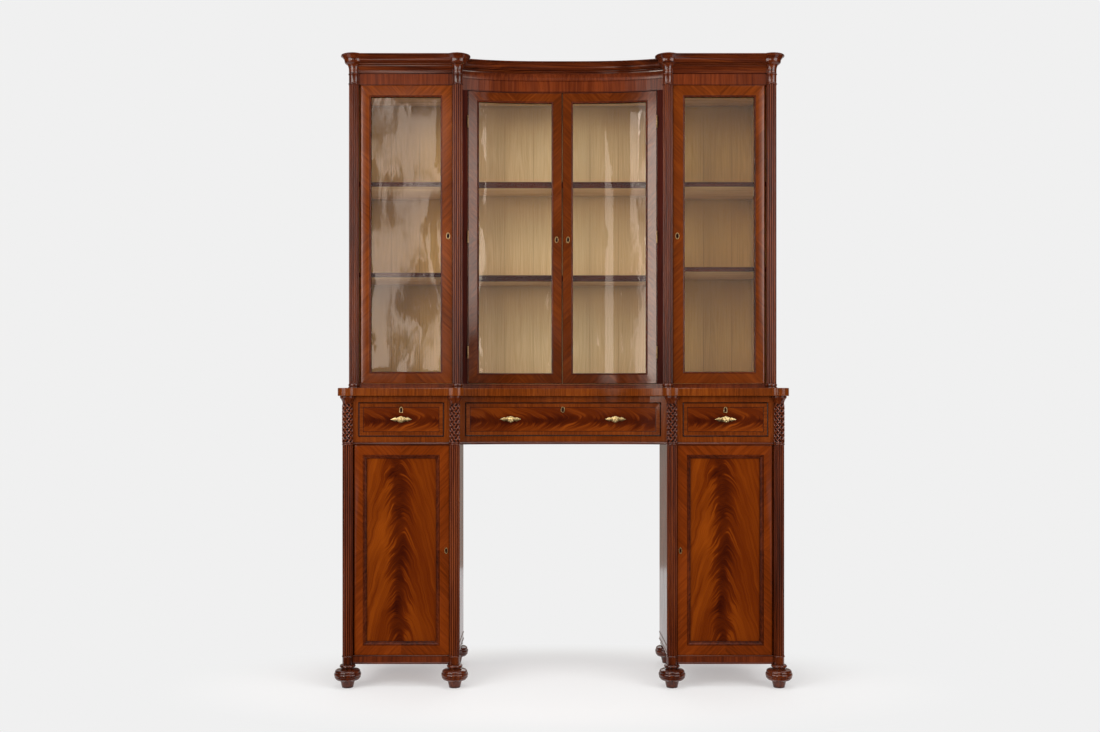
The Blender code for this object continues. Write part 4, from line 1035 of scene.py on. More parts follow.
@dataclass
class Columns:
    """Twelve three-quarter columns at three levels: reeded, rope-carved and reeded again."""

    radius: float = PLAN.column
    reeds: int = 10
    reed: float = 0.0033
    steps: int = 44
    leaf_rows: int = 11
    leaf_pitch: float = 0.0195
    leaf: Point = (0.0042, 0.0034, 0.0112)
    leaf_depth: float = 0.0026
    lean: float = math.radians(36)
    lower_shaft: Pair = (0.1196, 0.9096)
    upper_shaft: Pair = (1.1441, 2.3038)
    rope: Pair = (0.9215, 1.0640)
    rope_core: float = 0.0034
    rope_foot: Sequence[float] = (0.9165, 0.9167, 0.9170, 0.9217)
    rope_neck: Sequence[Pair] = ((1.0645, -0.0012), (1.0660, 0.0), (1.0672, -0.001))
    drum_top: float = 0.1135
    foot_groove: Pair = (1.1320, 1.1322)
    neck_levels: Sequence[float] = (2.3100, 2.3104, 2.3410, 2.3414, 2.3477)
    cap_tall: float = 0.027
    cap_wide: float = 0.009
    clear: float = 0.0003
    notch: float = 0.0003
    cap: Sequence[Pair] = (
        *((0.08, 0.0), (0.20, 0.06), (0.34, 0.20), (0.48, 0.42), (0.60, 0.66)),
        *((0.70, 0.86), (0.735, 0.88), (0.75, 0.99), (1.0, 1.0)),
    )

    def build(self) -> None:
        """Carves each column in its CAD column's place."""
        kinds = {"lower": PLAN.lower_front, "rope": PLAN.lower_front, "upper": PLAN.upper_front}
        places = {"outer": (PLAN.outer_axis, -1), "inner": (PLAN.inner_axis, 1)}
        for kind, front in kinds.items():
            for side, sign in SIDES.items():
                for where, (axis, turn) in places.items():
                    self._column(kind, f"{kind}_column_{where}_{side}", (sign * axis, front), sign * turn)

    def _column(self, kind: str, node: str, axis: Pair, facing: int) -> None:
        """Builds one column about its axis and hangs it on the carcase."""
        shape = Shape(f"carved_{node}")
        shafts = {"lower": self.lower_shaft, "rope": self.rope, "upper": self.upper_shaft}
        bottom, top = shafts[kind]
        rings = []
        for level, reach in self._core(kind):
            rings.append([(axis[0] + facing * x, axis[1] + y, level) for x, y in self._ring(reach)])
        # The core between the reeds gets the groove wood: painted shade in the hollows.
        shape.loft(rings, lambda centre, index: (Grain.UPRIGHT, 2 if bottom < centre.z < top else 0))
        wood = (ROPE if kind == "rope" else REEDED).material()
        mesh = self._leaves() if kind == "rope" else self._reeding(kind == "lower")
        mesh.transform(Matrix(((facing, 0, 0, axis[0]), (0, 1, 0, axis[1]), (0, 0, 1, 0), (0, 0, 0, 1))))
        shape.take_mesh(mesh, slot=1)
        finishes = [TURNED.material(), wood, GROOVE_SHADE.material()]
        shape.finish("carcase", finishes, [node], angle=50)

    def _ring(self, reach: float) -> list[Pair]:
        """Returns a three-quarter section, open towards the corner at +X and +Y."""
        turn = math.asin(self.notch / reach)
        return [*arc((0, 0), reach, QUARTER + turn, math.tau - turn, self.steps), (-self.notch, -self.notch)]

    def _bead(self, low: float, high: float, swell: float = 0.0) -> list[Pair]:
        """Returns the levels and radii of a rounded ring, which may swell past the collar."""
        rows = ((0.0, 0.0), (0.12, 0.55), (0.30, 0.92), (0.50, 1.0), (0.70, 0.92), (0.88, 0.55), (1.0, 0.0))
        crest = PLAN.collar + swell - self.radius
        return [(low + (high - low) * share, self.radius + crest * reach) for share, reach in rows]

    def _core(self, kind: str) -> list[Pair]:
        """Returns the levels and radii of the solid core of a kind of column."""
        r, core, clear = self.radius, self.radius - self.reed * 1.05, self.clear
        if kind == "lower":
            drum = [(PLAN.foot_top, r), *self._bead(self.drum_top, PLAN.base_top)]
            return [*drum, (0.1197, core), (PLAN.pedestal_top - clear, core)]
        if kind == "upper":
            foot = self._bead(PLAN.board_top + clear, self.foot_groove[0], 0.0008)
            foot += self._bead(self.foot_groove[1], PLAN.glazed_bottom)[1:]
            ring_top, low, high, bead_low, bead_high = self.neck_levels
            neck = [*self._bead(PLAN.glazed_top, ring_top), (low, r), (high, r)]
            neck += self._bead(bead_low, bead_high)[1:]
            return [*foot, (1.1442, core), (2.3036, core), *neck]
        core = r - self.rope_core
        ring_top, groove, bead_low, start = self.rope_foot
        foot = [*self._bead(PLAN.pedestal_top, ring_top), (groove, core + 0.0008)]
        foot += [*self._bead(bead_low, self.rope[0], -0.0012)[1:], (start, core)]
        neck = [(self.rope[1], core), *((level, r + reach) for level, reach in self.rope_neck)]
        top = PLAN.section_top - clear
        cap = [(top - self.cap_tall * (1 - share), r + self.cap_wide * reach) for share, reach in self.cap]
        return [*foot, *neck, *cap]

    def _reeding(self, lower: bool) -> bpy.types.Mesh:
        """Stands a row of reeds round three quarters of a circle, sunk a little at both ends."""
        low = (PLAN.base_top if lower else PLAN.glazed_bottom) - 0.0005
        high = PLAN.pedestal_top - 0.0003 if lower else PLAN.glazed_top + 0.0005
        circle = self.radius - self.reed
        tree = Tree("reeding", reeds=self.reeds, circle=circle, reed=self.reed, low=low, high=high)
        count, circle, reed, bottom, top = tree.inputs
        feeds = {"Vertices": 16, "Radius": reed, "Depth": top - bottom}
        stem = tree.node("GeometryNodeMeshCylinder", feeds, fill_type="NGON")
        angle = (tree.index + 0.5) / count * (3 * QUARTER) + QUARTER
        return tree.stand(stem, count, tree.circle(angle, circle, (top + bottom) * 0.5))

    def _leaves(self) -> bpy.types.Mesh:
        """Lays slanting leaves in rows round the shaft, each row leaning against the next."""
        low, high = self.rope
        per_row = int((high - low) / self.leaf_pitch)
        pitch, circle = (high - low) / per_row, self.radius - self.leaf_depth
        tree = Tree("rope_leaves", rows=self.leaf_rows, each=per_row, pitch=pitch, circle=circle, low=low)
        rows, each, step, reach, base = tree.inputs
        leaf = tree.node("GeometryNodeMeshUVSphere", {"Segments": 8, "Rings": 6, "Radius": 1.0})
        row = tree.maths("FLOOR", tree.index / each)
        parity = tree.maths("MODULO", row, 2.0)
        level = (parity * 0.5 + (tree.index - row * each + 0.25)) * step + base
        angle = (row + 0.5) / rows * (3 * QUARTER) + QUARTER
        turns = {0: tree.turn((0.0, 0.0, 1.0), angle)}
        turns[1] = tree.turn((1.0, 0.0, 0.0), parity * (2 * self.lean) - self.lean)
        both = tree.node("FunctionNodeRotateRotation", turns, rotation_space="LOCAL")
        return tree.stand(leaf, rows * each, tree.circle(angle, reach, level), Rotation=both, Scale=self.leaf)


@dataclass
class Pedestals:
    """Two pedestals: cases with moulded bases, and doors with flame panels."""

    member: DoorMember = DoorMember(0.050, PANEL_BEADS)
    ceiling: float = 0.8924
    door_room: float = 0.026
    bead: Sequence[Pair] = mm(
        (0.0, 114.8), (1.0, 115.0), (2.0, 116.0), (2.3, 117.2), (2.0, 118.4), (1.0, 119.3), (0.0, 119.5)
    )
    fillet: Sequence[Pair] = mm((0.0, 86.8), (2.2, 86.8), (2.4, 88.0), (2.2, 91.2), (1.0, 93.0), (0.0, 93.4))

    def build(self) -> None:
        """Dresses the cases and makes their mouldings and doors."""
        for side, sign in SIDES.items():
            near, far = PLAN.bay(sign, -PLAN.skin)
            low = (near, PLAN.lower_front + self.door_room, PLAN.base_top - PLAN.skin)
            room = Room(f"cupboard_{side}", low, (far, PLAN.back - PLAN.gap, self.ceiling), INSIDE)
            dress(f"pedestal_case_{side}", CASE.material(Boards.STANDING, (room,)))
            dress(f"pedestal_back_{side}", Softwood().material())
            self._base(side, sign)
            door = f"pedestal_door_{side}"
            levels = (PLAN.base_top, PLAN.pedestal_top)
            pinned_frame(door, sign, PLAN.lower_front, levels, self.member, DOOR_VENEER)
            middle = sum(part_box(f"{door}_panel"), Vector()) / 2
            flame = Flame(f"flame_panel_{side}", (middle.z, middle.x, middle.y), Grain.UPRIGHT)
            dress(f"{door}_panel", flame.material())

    def _base(self, side: str, sign: int) -> None:
        """Runs a bead and a fillet along the base rail at the front and both sides."""
        shape = Shape(f"pedestal_base_mouldings_{side}")
        for line, out, grain in PLAN.runs(sign, PLAN.lower_front):
            for profile in (self.bead, self.fillet):
                shape.sweep(line, out, profile, grain)
        shape.finish("carcase", [TURNED.material()])


@dataclass
class DrawerSection:
    """The section with its astragal and three veneered drawers."""

    small_width: float = 0.3205
    front: float = 0.018
    border: float = 0.0188
    runs: tuple[Point, Point] = ((-0.773, -0.08975, 0.9406), (0.773, 0.2455, 1.0714))
    # The cock bead is near-black: partly a dark bead and partly painted shade of the gap round the drawer.
    cock_bead: Section = section(
        *((0, 0, 1), (0, -1.0, 1), (0.8, -2.0, 1), (1.8, -2.3, 1)),
        *((2.8, -1.8, 1), (3.4, -0.8, 1), (3.5, 0, 1)),
    )
    band: Section = section((3.5, 0, 0), (3.7, -0.6, 0), (17.0, -0.6, 1), (18.8, -0.6, 1), (19.0, 0, 0))
    astragal: Sequence[Pair] = mm(
        (0.0, 0.0), (3.0, 0.0), (4.6, 1.6), (5.2, 4.2), (4.6, 6.8), (2.8, 8.4), (2.8, 9.8), (0.0, 10.4)
    )

    def build(self) -> None:
        """Dresses the case and the drawers and lays their fronts."""
        dress("drawer_case", VENEER.material(Boards.STANDING, (Room("runs", *self.runs, INSIDE),)))
        self._astragal()
        for side, sign in SIDES.items():
            ends = [sign * PLAN.wing_middle + share * self.small_width for share in (-0.5, 0.5)]
            face = FlatFace(PLAN.lower_front)
            self._front(f"drawer_{side}", f"small_drawer_{side}", ends, face, self.front)
        half = PLAN.centre_half - PLAN.gap
        behind = PLAN.recess + self.front
        self._front("drawer_centre", "centre_drawer", (-half, half), HollowFace(PLAN.lower_front), behind)

    def _front(self, node: str, body: str, ends: Sequence[float], face: Face, behind: float) -> None:
        """Lays a cock bead, cross-banding, a dark line and a flame field on a drawer's front.

        Args:
            node: The CAD drawer, which stays behind the veneers.
            body: The body that slides.
            ends: X of the front's left and right ends.
            face: Its plan.
            behind: How far behind the wings' front its bare wood starts.
        """
        (left, right), bottom, top = ends, PLAN.drawer_low, PLAN.drawer_high
        wide, thin = 0.1, 0.0006
        room = Room(node, (left - wide, PLAN.lower_front + behind, 0.9), (right + wide, 0.3, 1.2), INSIDE)
        dress(node, CASE.material(Boards.DRAWER, (room,)))
        shape = Shape(f"{node}_veneered_front")
        for rows, banding in ((self.cock_bead, Banding.LENGTHWISE), (self.band, Banding.CROSSED)):
            MitredFrame((left, bottom), (right, top), rows, face, banding).add_to(shape)
        rings = []
        low, high = bottom + self.border, top - self.border
        for station in face.stations:
            x = left + self.border + (right - left - 2 * self.border) * station
            corners = ((0.0, low), (-thin, low + 0.0002), (-thin, high - 0.0002), (0.0, high))
            rings.append([(*face(x, depth), z) for depth, z in corners])
        shape.loft(rings, plain(slot=2))
        centre = ((left + right) / 2, (bottom + top) / 2, 0.0)
        tones = {"middle": (88, 32, 5), "light": (132, 60, 12)}
        flame = Flame(f"{node}_flame", centre, Grain.LEVEL, plume=0.014, fall=14.0, **tones)
        shape.finish(body, [VENEER.material(), DARK_LINE_AND_SHADE.material(), flame.material()])

    def _astragal(self) -> None:
        """Runs a rounded bead under the section, along the wings and the hollow."""
        shape = Shape("section_astragal")
        profile = [(reach, PLAN.pedestal_top + rise) for reach, rise in self.astragal]
        for sign in SIDES.values():
            for line, out, grain in PLAN.runs(sign, PLAN.lower_front)[:2]:
                shape.sweep(line, out, profile, grain)
        shape.sweep(PLAN.hollow_line(PLAN.inner_axis - 0.005, PLAN.lower_front), (0, -1), profile)
        shape.finish("carcase", [TURNED.material()])


@dataclass
class WaistBoard:
    """The board between the drawers and the glazed part, which breaks round each column."""

    overhang: float = 0.028
    lead: float = 0.009
    steps: int = 20
    rows: Sequence[Pair] = mm(
        (0.0, -1.2), (0.6, -0.3), (1.6, 0.0), (2.4, 0.0), (27.6, 0.0), (28.4, 0.0), (29.4, -0.4), (30.0, -1.4)
    )

    def build(self) -> None:
        """Makes the board with eased edges."""
        shape = Shape("banded_waist_board")
        rings = []
        for rise, draw in self.rows:
            rings.append([(x, y, PLAN.section_top + rise) for x, y in self._outline(draw)])
        shape.loft(rings, lambda centre, index: (Grain.LEVEL if index < 0 else Grain.UPRIGHT, 0))
        shape.finish("carcase", [CROSS_VENEER.material()], ["waist_board"], angle=35)

    def _outline(self, draw: float) -> list[Pair]:
        """Returns the board in plan, drawn in or out at its edge."""
        over, front = self.overhang + draw, PLAN.lower_front
        left = PLAN.breaks(front, over, over + self.lead, self.steps, whole=False)
        line = [(x, y - over) for x, y in PLAN.hollow_line(PLAN.inner_axis - over, front)]
        return [*left, *line, *((-x, y) for x, y in reversed(left))]


@dataclass
class UpperPart:
    """The glazed cases with their frieze lines, base rail lines, backs and shelves."""

    door_room: float = 0.024
    facing: float = 0.0004
    line: float = 0.0005
    line_levels: Sequence[Pair] = ((1.1385, 1.1398), (2.3062, 2.3074))
    # The wings' back boards are a darker copy of the centre's boards.
    browned: Sequence[Rgb] = ((222, 182, 112), (200, 158, 90), (172, 130, 70), (146, 100, 40))
    lipping: Sequence[Pair] = (
        *((0.0, 0.0), (0.0022, 0.02), (0.0030, 0.08), (0.0032, 0.20), (0.0026, 0.30), (0.0010, 0.335)),
        *((0.0026, 0.37), (0.0034, 0.50), (0.0026, 0.63), (0.0010, 0.665), (0.0026, 0.70), (0.0032, 0.80)),
        *((0.0030, 0.92), (0.0022, 0.98), (0.0, 1.0)),
    )

    def build(self) -> None:
        """Dresses the cases, backs and shelves and lays their fine lines."""
        low, high = PLAN.glazed_bottom - PLAN.skin, PLAN.glazed_top + PLAN.skin
        front, half = PLAN.upper_front + self.door_room, PLAN.centre_half + PLAN.skin
        bays = self._bays(low, high)
        wing_boards = Softwood("browned_back_boards", *self.browned, bays=bays)
        for side, sign in SIDES.items():
            near, far = PLAN.bay(sign, -PLAN.skin)
            room = Room(f"bay_{side}", (near, front, low), (far, PLAN.back - PLAN.gap, high), INSIDE)
            dress(f"wing_case_{side}", CASE.material(Boards.STANDING, (room,)))
            dress(f"wing_back_{side}", wing_boards.material())
        back = PLAN.back - PLAN.recess + PLAN.rise
        room = Room("bay_centre", (-half, front, low), (half, back, high), INSIDE, hollow=True)
        dress("centre_case", CASE.material(Boards.STANDING, (room,)))
        dress("centre_back", Softwood("bleached_back_boards", bays=bays).material())
        for level in ("lower", "upper"):
            for place in ("wing_shelf_{}_left", "wing_shelf_{}_right", "centre_shelf_{}"):
                self._shelf(place.format(level))
        self._lines()
        self._facings(half)

    @staticmethod
    def _bays(low: float, high: float) -> tuple[tuple[Pair, tuple[Pair, ...]], ...]:
        """Returns each case's span and the levels between its shelves."""
        bays = []
        for shelf in ("wing_shelf_{}_left", "centre_shelf_{}", "wing_shelf_{}_right"):
            lower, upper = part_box(shelf.format("lower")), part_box(shelf.format("upper"))
            levels = ((low, lower[0].z), (lower[1].z, upper[0].z), (upper[1].z, high))
            bays.append(((lower[0].x - 0.002, lower[1].x + 0.002), levels))
        return tuple(bays)

    @staticmethod
    def _strip(out: float, low: float, high: float) -> list[Pair]:
        """Returns the profile of a flat strip."""
        return [(0.0, low), (out, low), (out, high), (0.0, high)]

    def _facings(self, near: float) -> None:
        """Faces the two posts beside the centre doors with a near-black strip: painted shade where they sit
        beside the columns.
        """
        shape = Shape("centre_post_facings")
        far = PLAN.inner_axis - 0.0003
        strip = self._strip(self.facing, PLAN.glazed_bottom + PLAN.skin, PLAN.glazed_top - PLAN.skin)
        for sign in SIDES.values():
            xs = [sign * (near + (far - near) * index / 8) for index in range(9)]
            shape.sweep([(x, PLAN.hollow(x, PLAN.upper_front)) for x in xs], (0, -1), strip, Grain.UPRIGHT)
        shape.finish("carcase", [SHADED_POST.material()])

    def _shelf(self, node: str) -> None:
        """Gives a shelf its wood and a reeded mahogany lipping in front."""
        dress(node, SHELF.material(Grain.LEVEL))
        low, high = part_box(node)
        shape = Shape(f"{node}_lipping")
        profile = [(reach, low.z + (high.z - low.z) * share) for reach, share in self.lipping]
        shape.sweep([(low.x, low.y), (high.x, low.y)], (0, -1), profile)
        shape.finish("carcase", [LIPPING.material()])

    def _lines(self) -> None:
        """Lays dark lines on the frieze and the base rail, flat on the wings and bent in the centre."""
        shape = Shape("upper_stringing")
        for levels in self.line_levels:
            strip = self._strip(self.line, *levels)
            for sign in SIDES.values():
                shape.sweep(PLAN.runs(sign, PLAN.upper_front)[0][0], (0, -1), strip)
            shape.sweep(PLAN.hollow_line(PLAN.inner_axis - PLAN.stop, PLAN.upper_front), (0, -1), strip)
        shape.finish("carcase", [DARK_LINE_AND_SHADE.material()])


@dataclass
class Cornice:
    """The moulded cornice: one length over each wing with its capitals, one over the centre.

    Its rows give the level above the frieze, how far it stands out, and a capital's radius.
    """

    steps: int = 22
    veneered: float = 0.0255
    rows: Sequence[Point] = mm(
        *((0.0, 1.0, 19.7), (1.6, 1.0, 19.7), (2.0, 3.4, 19.8), (8.0, 3.8, 19.8), (14.0, 5.0, 20.0)),
        *((20.0, 7.6, 20.6), (23.5, 10.0, 21.4), (26.0, 12.2, 22.2), (26.4, 10.0, 22.4), (30.4, 10.0, 24.0)),
        *((32.0, 10.6, 25.2), (32.8, 15.0, 26.2), (34.2, 17.2, 28.2), (36.0, 17.6, 30.6), (37.6, 16.2, 32.6)),
        *((38.2, 18.0, 33.4), (40.0, 22.2, 35.2), (43.0, 25.0, 36.2), (46.5, 26.2, 36.6), (49.5, 26.6, 36.8)),
        *((52.5, 27.6, 38.0), (56.0, 30.0, 40.6), (60.0, 33.0, 43.6), (63.0, 35.4, 45.8), (64.2, 36.2, 46.6)),
        *((64.6, 39.2, 49.2), (65.4, 40.0, 50.0), (68.2, 40.0, 50.0), (69.0, 39.0, 49.0)),
    )

    def build(self) -> None:
        """Makes the three lengths."""
        woods = [CASE.material(), TURNED.material()]
        for side, sign in SIDES.items():
            shape = Shape(f"moulded_wing_cornice_{side}")
            shape.loft([self._wing_ring(*row, sign) for row in self.rows], self._paint_wing)
            shape.finish("carcase", woods, [f"wing_cornice_{side}"], angle=32)
        shape = Shape("moulded_centre_cornice")
        shape.loft([self._centre_ring(*row) for row in self.rows], self._paint)
        shape.finish("carcase", woods, ["centre_cornice"], angle=32)

    def _paint(self, centre: Vector, index: int) -> tuple[Grain, int]:
        """Cross-grained veneer on the lower band and solid wood above it."""
        low = centre.z < PLAN.frieze_top + self.veneered
        return (Grain.UPRIGHT, 0) if low else (Grain.LEVEL, 1)

    def _paint_wing(self, centre: Vector, index: int) -> tuple[Grain, int]:
        """Veneers the band between the capitals and along the side, and leaves the capitals solid."""
        if index in (0, self.steps + 2) and self._paint(centre, index)[1] == 0:
            return Grain.UPRIGHT, 0
        return Grain.DEEP if index == 0 else Grain.LEVEL, 1

    def _wing_ring(self, rise: float, over: float, radius: float, sign: int) -> list[Point]:
        """Returns a wing's cornice in plan at one level."""
        points = PLAN.breaks(PLAN.upper_front, over, radius, self.steps, whole=True)
        points.append((-PLAN.inner_axis, PLAN.back))
        return [(-sign * x, y, PLAN.frieze_top + rise) for x, y in points]

    def _centre_ring(self, rise: float, over: float, radius: float) -> list[Point]:
        """Returns the hollow length in plan at one level, cut round both inner capitals."""
        clear, bends = 0.0003, 8
        limit, reach = PLAN.inner_axis - clear, radius + 0.0012
        if self._front(-limit, over) > PLAN.upper_front + reach:
            meet = -limit
            corner = [(meet, self._front(meet, over))] * (bends + 1)
        else:
            meet = self._meeting(over, reach)
            start = math.atan2(self._front(meet, over) - PLAN.upper_front, meet + PLAN.inner_axis)
            corner = arc((-PLAN.inner_axis, PLAN.upper_front), reach, QUARTER - clear / reach, start, bends)
        line = [(x, self._front(x, over)) for x in np.linspace(meet, -meet, 41)[1:-1]]
        left = [(-limit, PLAN.back), *corner]
        ring = [*left, *line, *((-x, y) for x, y in reversed(left))]
        return [(float(x), float(y), PLAN.frieze_top + rise) for x, y in ring]

    @staticmethod
    def _front(x: float, over: float) -> float:
        """Returns the Y of the hollow length's face where it stands out by over."""
        return PLAN.hollow(x, PLAN.upper_front) - over

    def _meeting(self, over: float, reach: float) -> float:
        """Returns the X at which the left of the hollow face meets the capital's clearance."""
        inside, outside = -PLAN.inner_axis + 0.0005, -PLAN.inner_axis + 0.12
        for _ in range(40):
            middle = (inside + outside) / 2
            away = math.hypot(middle + PLAN.inner_axis, self._front(middle, over) - PLAN.upper_front)
            inside, outside = (middle, outside) if away < reach else (inside, middle)
        return outside


@dataclass
class GlazedDoors:
    """Two flat wing doors and two doors that follow the hollow centre."""

    wing: DoorMember = DoorMember(0.046, SIGHT_BEAD)
    centre: DoorMember = DoorMember(0.043, SIGHT_BEAD, edge=3)
    meeting: float = 0.0002
    knuckle: float = 0.0035
    knuckles: int = 5
    hinge: float = 0.048
    hinge_y: float = 0.001042
    hinge_levels: Sequence[float] = (1.269, 1.724, 2.179)
    leaf: float = 0.0008
    leaf_width: float = 0.026
    screw_place: float = 0.016
    screw_spread: float = 0.017
    screw_radius: float = 0.0024
    screw_depth: float = 0.0012

    def build(self) -> None:
        """Makes both pairs and glazes them."""
        levels = (PLAN.glazed_bottom, PLAN.glazed_top)
        for side, sign in SIDES.items():
            pinned_frame(f"wing_door_{side}", sign, PLAN.upper_front, levels, self.wing, VENEER)
            self._centre(f"centre_door_{side}", sign)
            self._hinges(f"centre_door_{side}", sign)
            for door in ("wing", "centre"):
                dress(f"{door}_door_{side}_glass", OldGlass().material())

    def _centre(self, body: str, sign: int) -> None:
        """Makes a centre door's frame."""
        near, far = sorted((sign * self.meeting, sign * (PLAN.centre_half - PLAN.gap)))
        low, high = PLAN.glazed_bottom + PLAN.gap, PLAN.glazed_top - PLAN.gap
        shape = Shape(f"{body}_banded_frame")
        face = HollowFace(PLAN.upper_front, sign * self.meeting)
        MitredFrame((near, low), (far, high), self.centre.rows(), face, Banding.QUARTERED).add_to(shape)
        # The fourth finish paints shade on the meeting edges.
        woods = [wood.material() for wood in (CENTRE_VENEER, DARK_LINE_AND_SHADE, MOULDING, GROOVE_SHADE)]
        shape.finish(body, woods, [f"{body}_frame"])

    def _hinges(self, body: str, sign: int) -> None:
        """Makes the barrels, leaves and screws of a centre door's three butts."""
        shape = Shape(f"{body}_hinges")
        x, y = sign * (PLAN.centre_half - PLAN.gap), self.hinge_y
        face = x - sign * self.leaf
        length = self.hinge / self.knuckles
        for level in self.hinge_levels:
            low = level - self.hinge / 2
            starts = [low + length * part for part in range(self.knuckles)]
            profile = [row for start in starts for row in barrel(self.knuckle, start, start + length)]
            shape.turn(x, y, profile)
            near, far = sorted((face, x + sign * 0.0002))
            shape.block((near, y, low), (far, y + self.leaf_width, low + self.hinge), 0.0002)
        shape.take_mesh(self._screws(face, y + self.screw_place, sign))
        brass = Brass("hinge_brass", (168, 140, 100), (110, 82, 54)).material()
        shape.finish(body, [brass])

    def _screws(self, x: float, y: float, sign: int) -> bpy.types.Mesh:
        """Sets three screw heads in each leaf."""
        levels = self.hinge_levels
        steps = {"spread": self.screw_spread, "rise": levels[1] - levels[0]}
        tree = Tree("hinge_screws", count=3 * len(levels), **steps)
        count, spread, rise = tree.inputs
        feeds = {"Vertices": 12, "Radius": self.screw_radius, "Depth": self.screw_depth}
        head = tree.node("GeometryNodeMeshCylinder", feeds)
        hinge = tree.maths("FLOOR", tree.index / 3.0)
        level = hinge * rise + levels[0]
        place = tree.vector(x, y, (tree.index - hinge * 3.0 - 1.0) * spread + level)
        return tree.stand(head, count, place, Rotation=tree.turn((0.0, 1.0, 0.0), sign * QUARTER))


@dataclass(frozen=True)
class Seat:
    """Where a fitting lies on a front: its middle and how it is turned in plan."""

    x: float
    y: float
    z: float
    turn: float = 0.0

    @classmethod
    def on_hollow(cls, x: float, front: float, z: float, half: float = 0.037) -> "Seat":
        """Returns the seat of a fitting that bridges the hollow face."""
        start, end = PLAN.hollow(x - half, front), PLAN.hollow(x + half, front)
        turn = math.atan2(end - start, 2 * half)
        y = PLAN.hollow(x, front)
        bow = y - (start + end) / 2
        return cls(x + math.sin(turn) * bow, y - math.cos(turn) * bow, z, turn)

    def place(self, across: float, up: float, out: float) -> Point:
        """Returns a point from distances across, up and out of the face."""
        c, s = math.cos(self.turn), math.sin(self.turn)
        return self.x + across * c + out * s, self.y + across * s - out * c, self.z + up


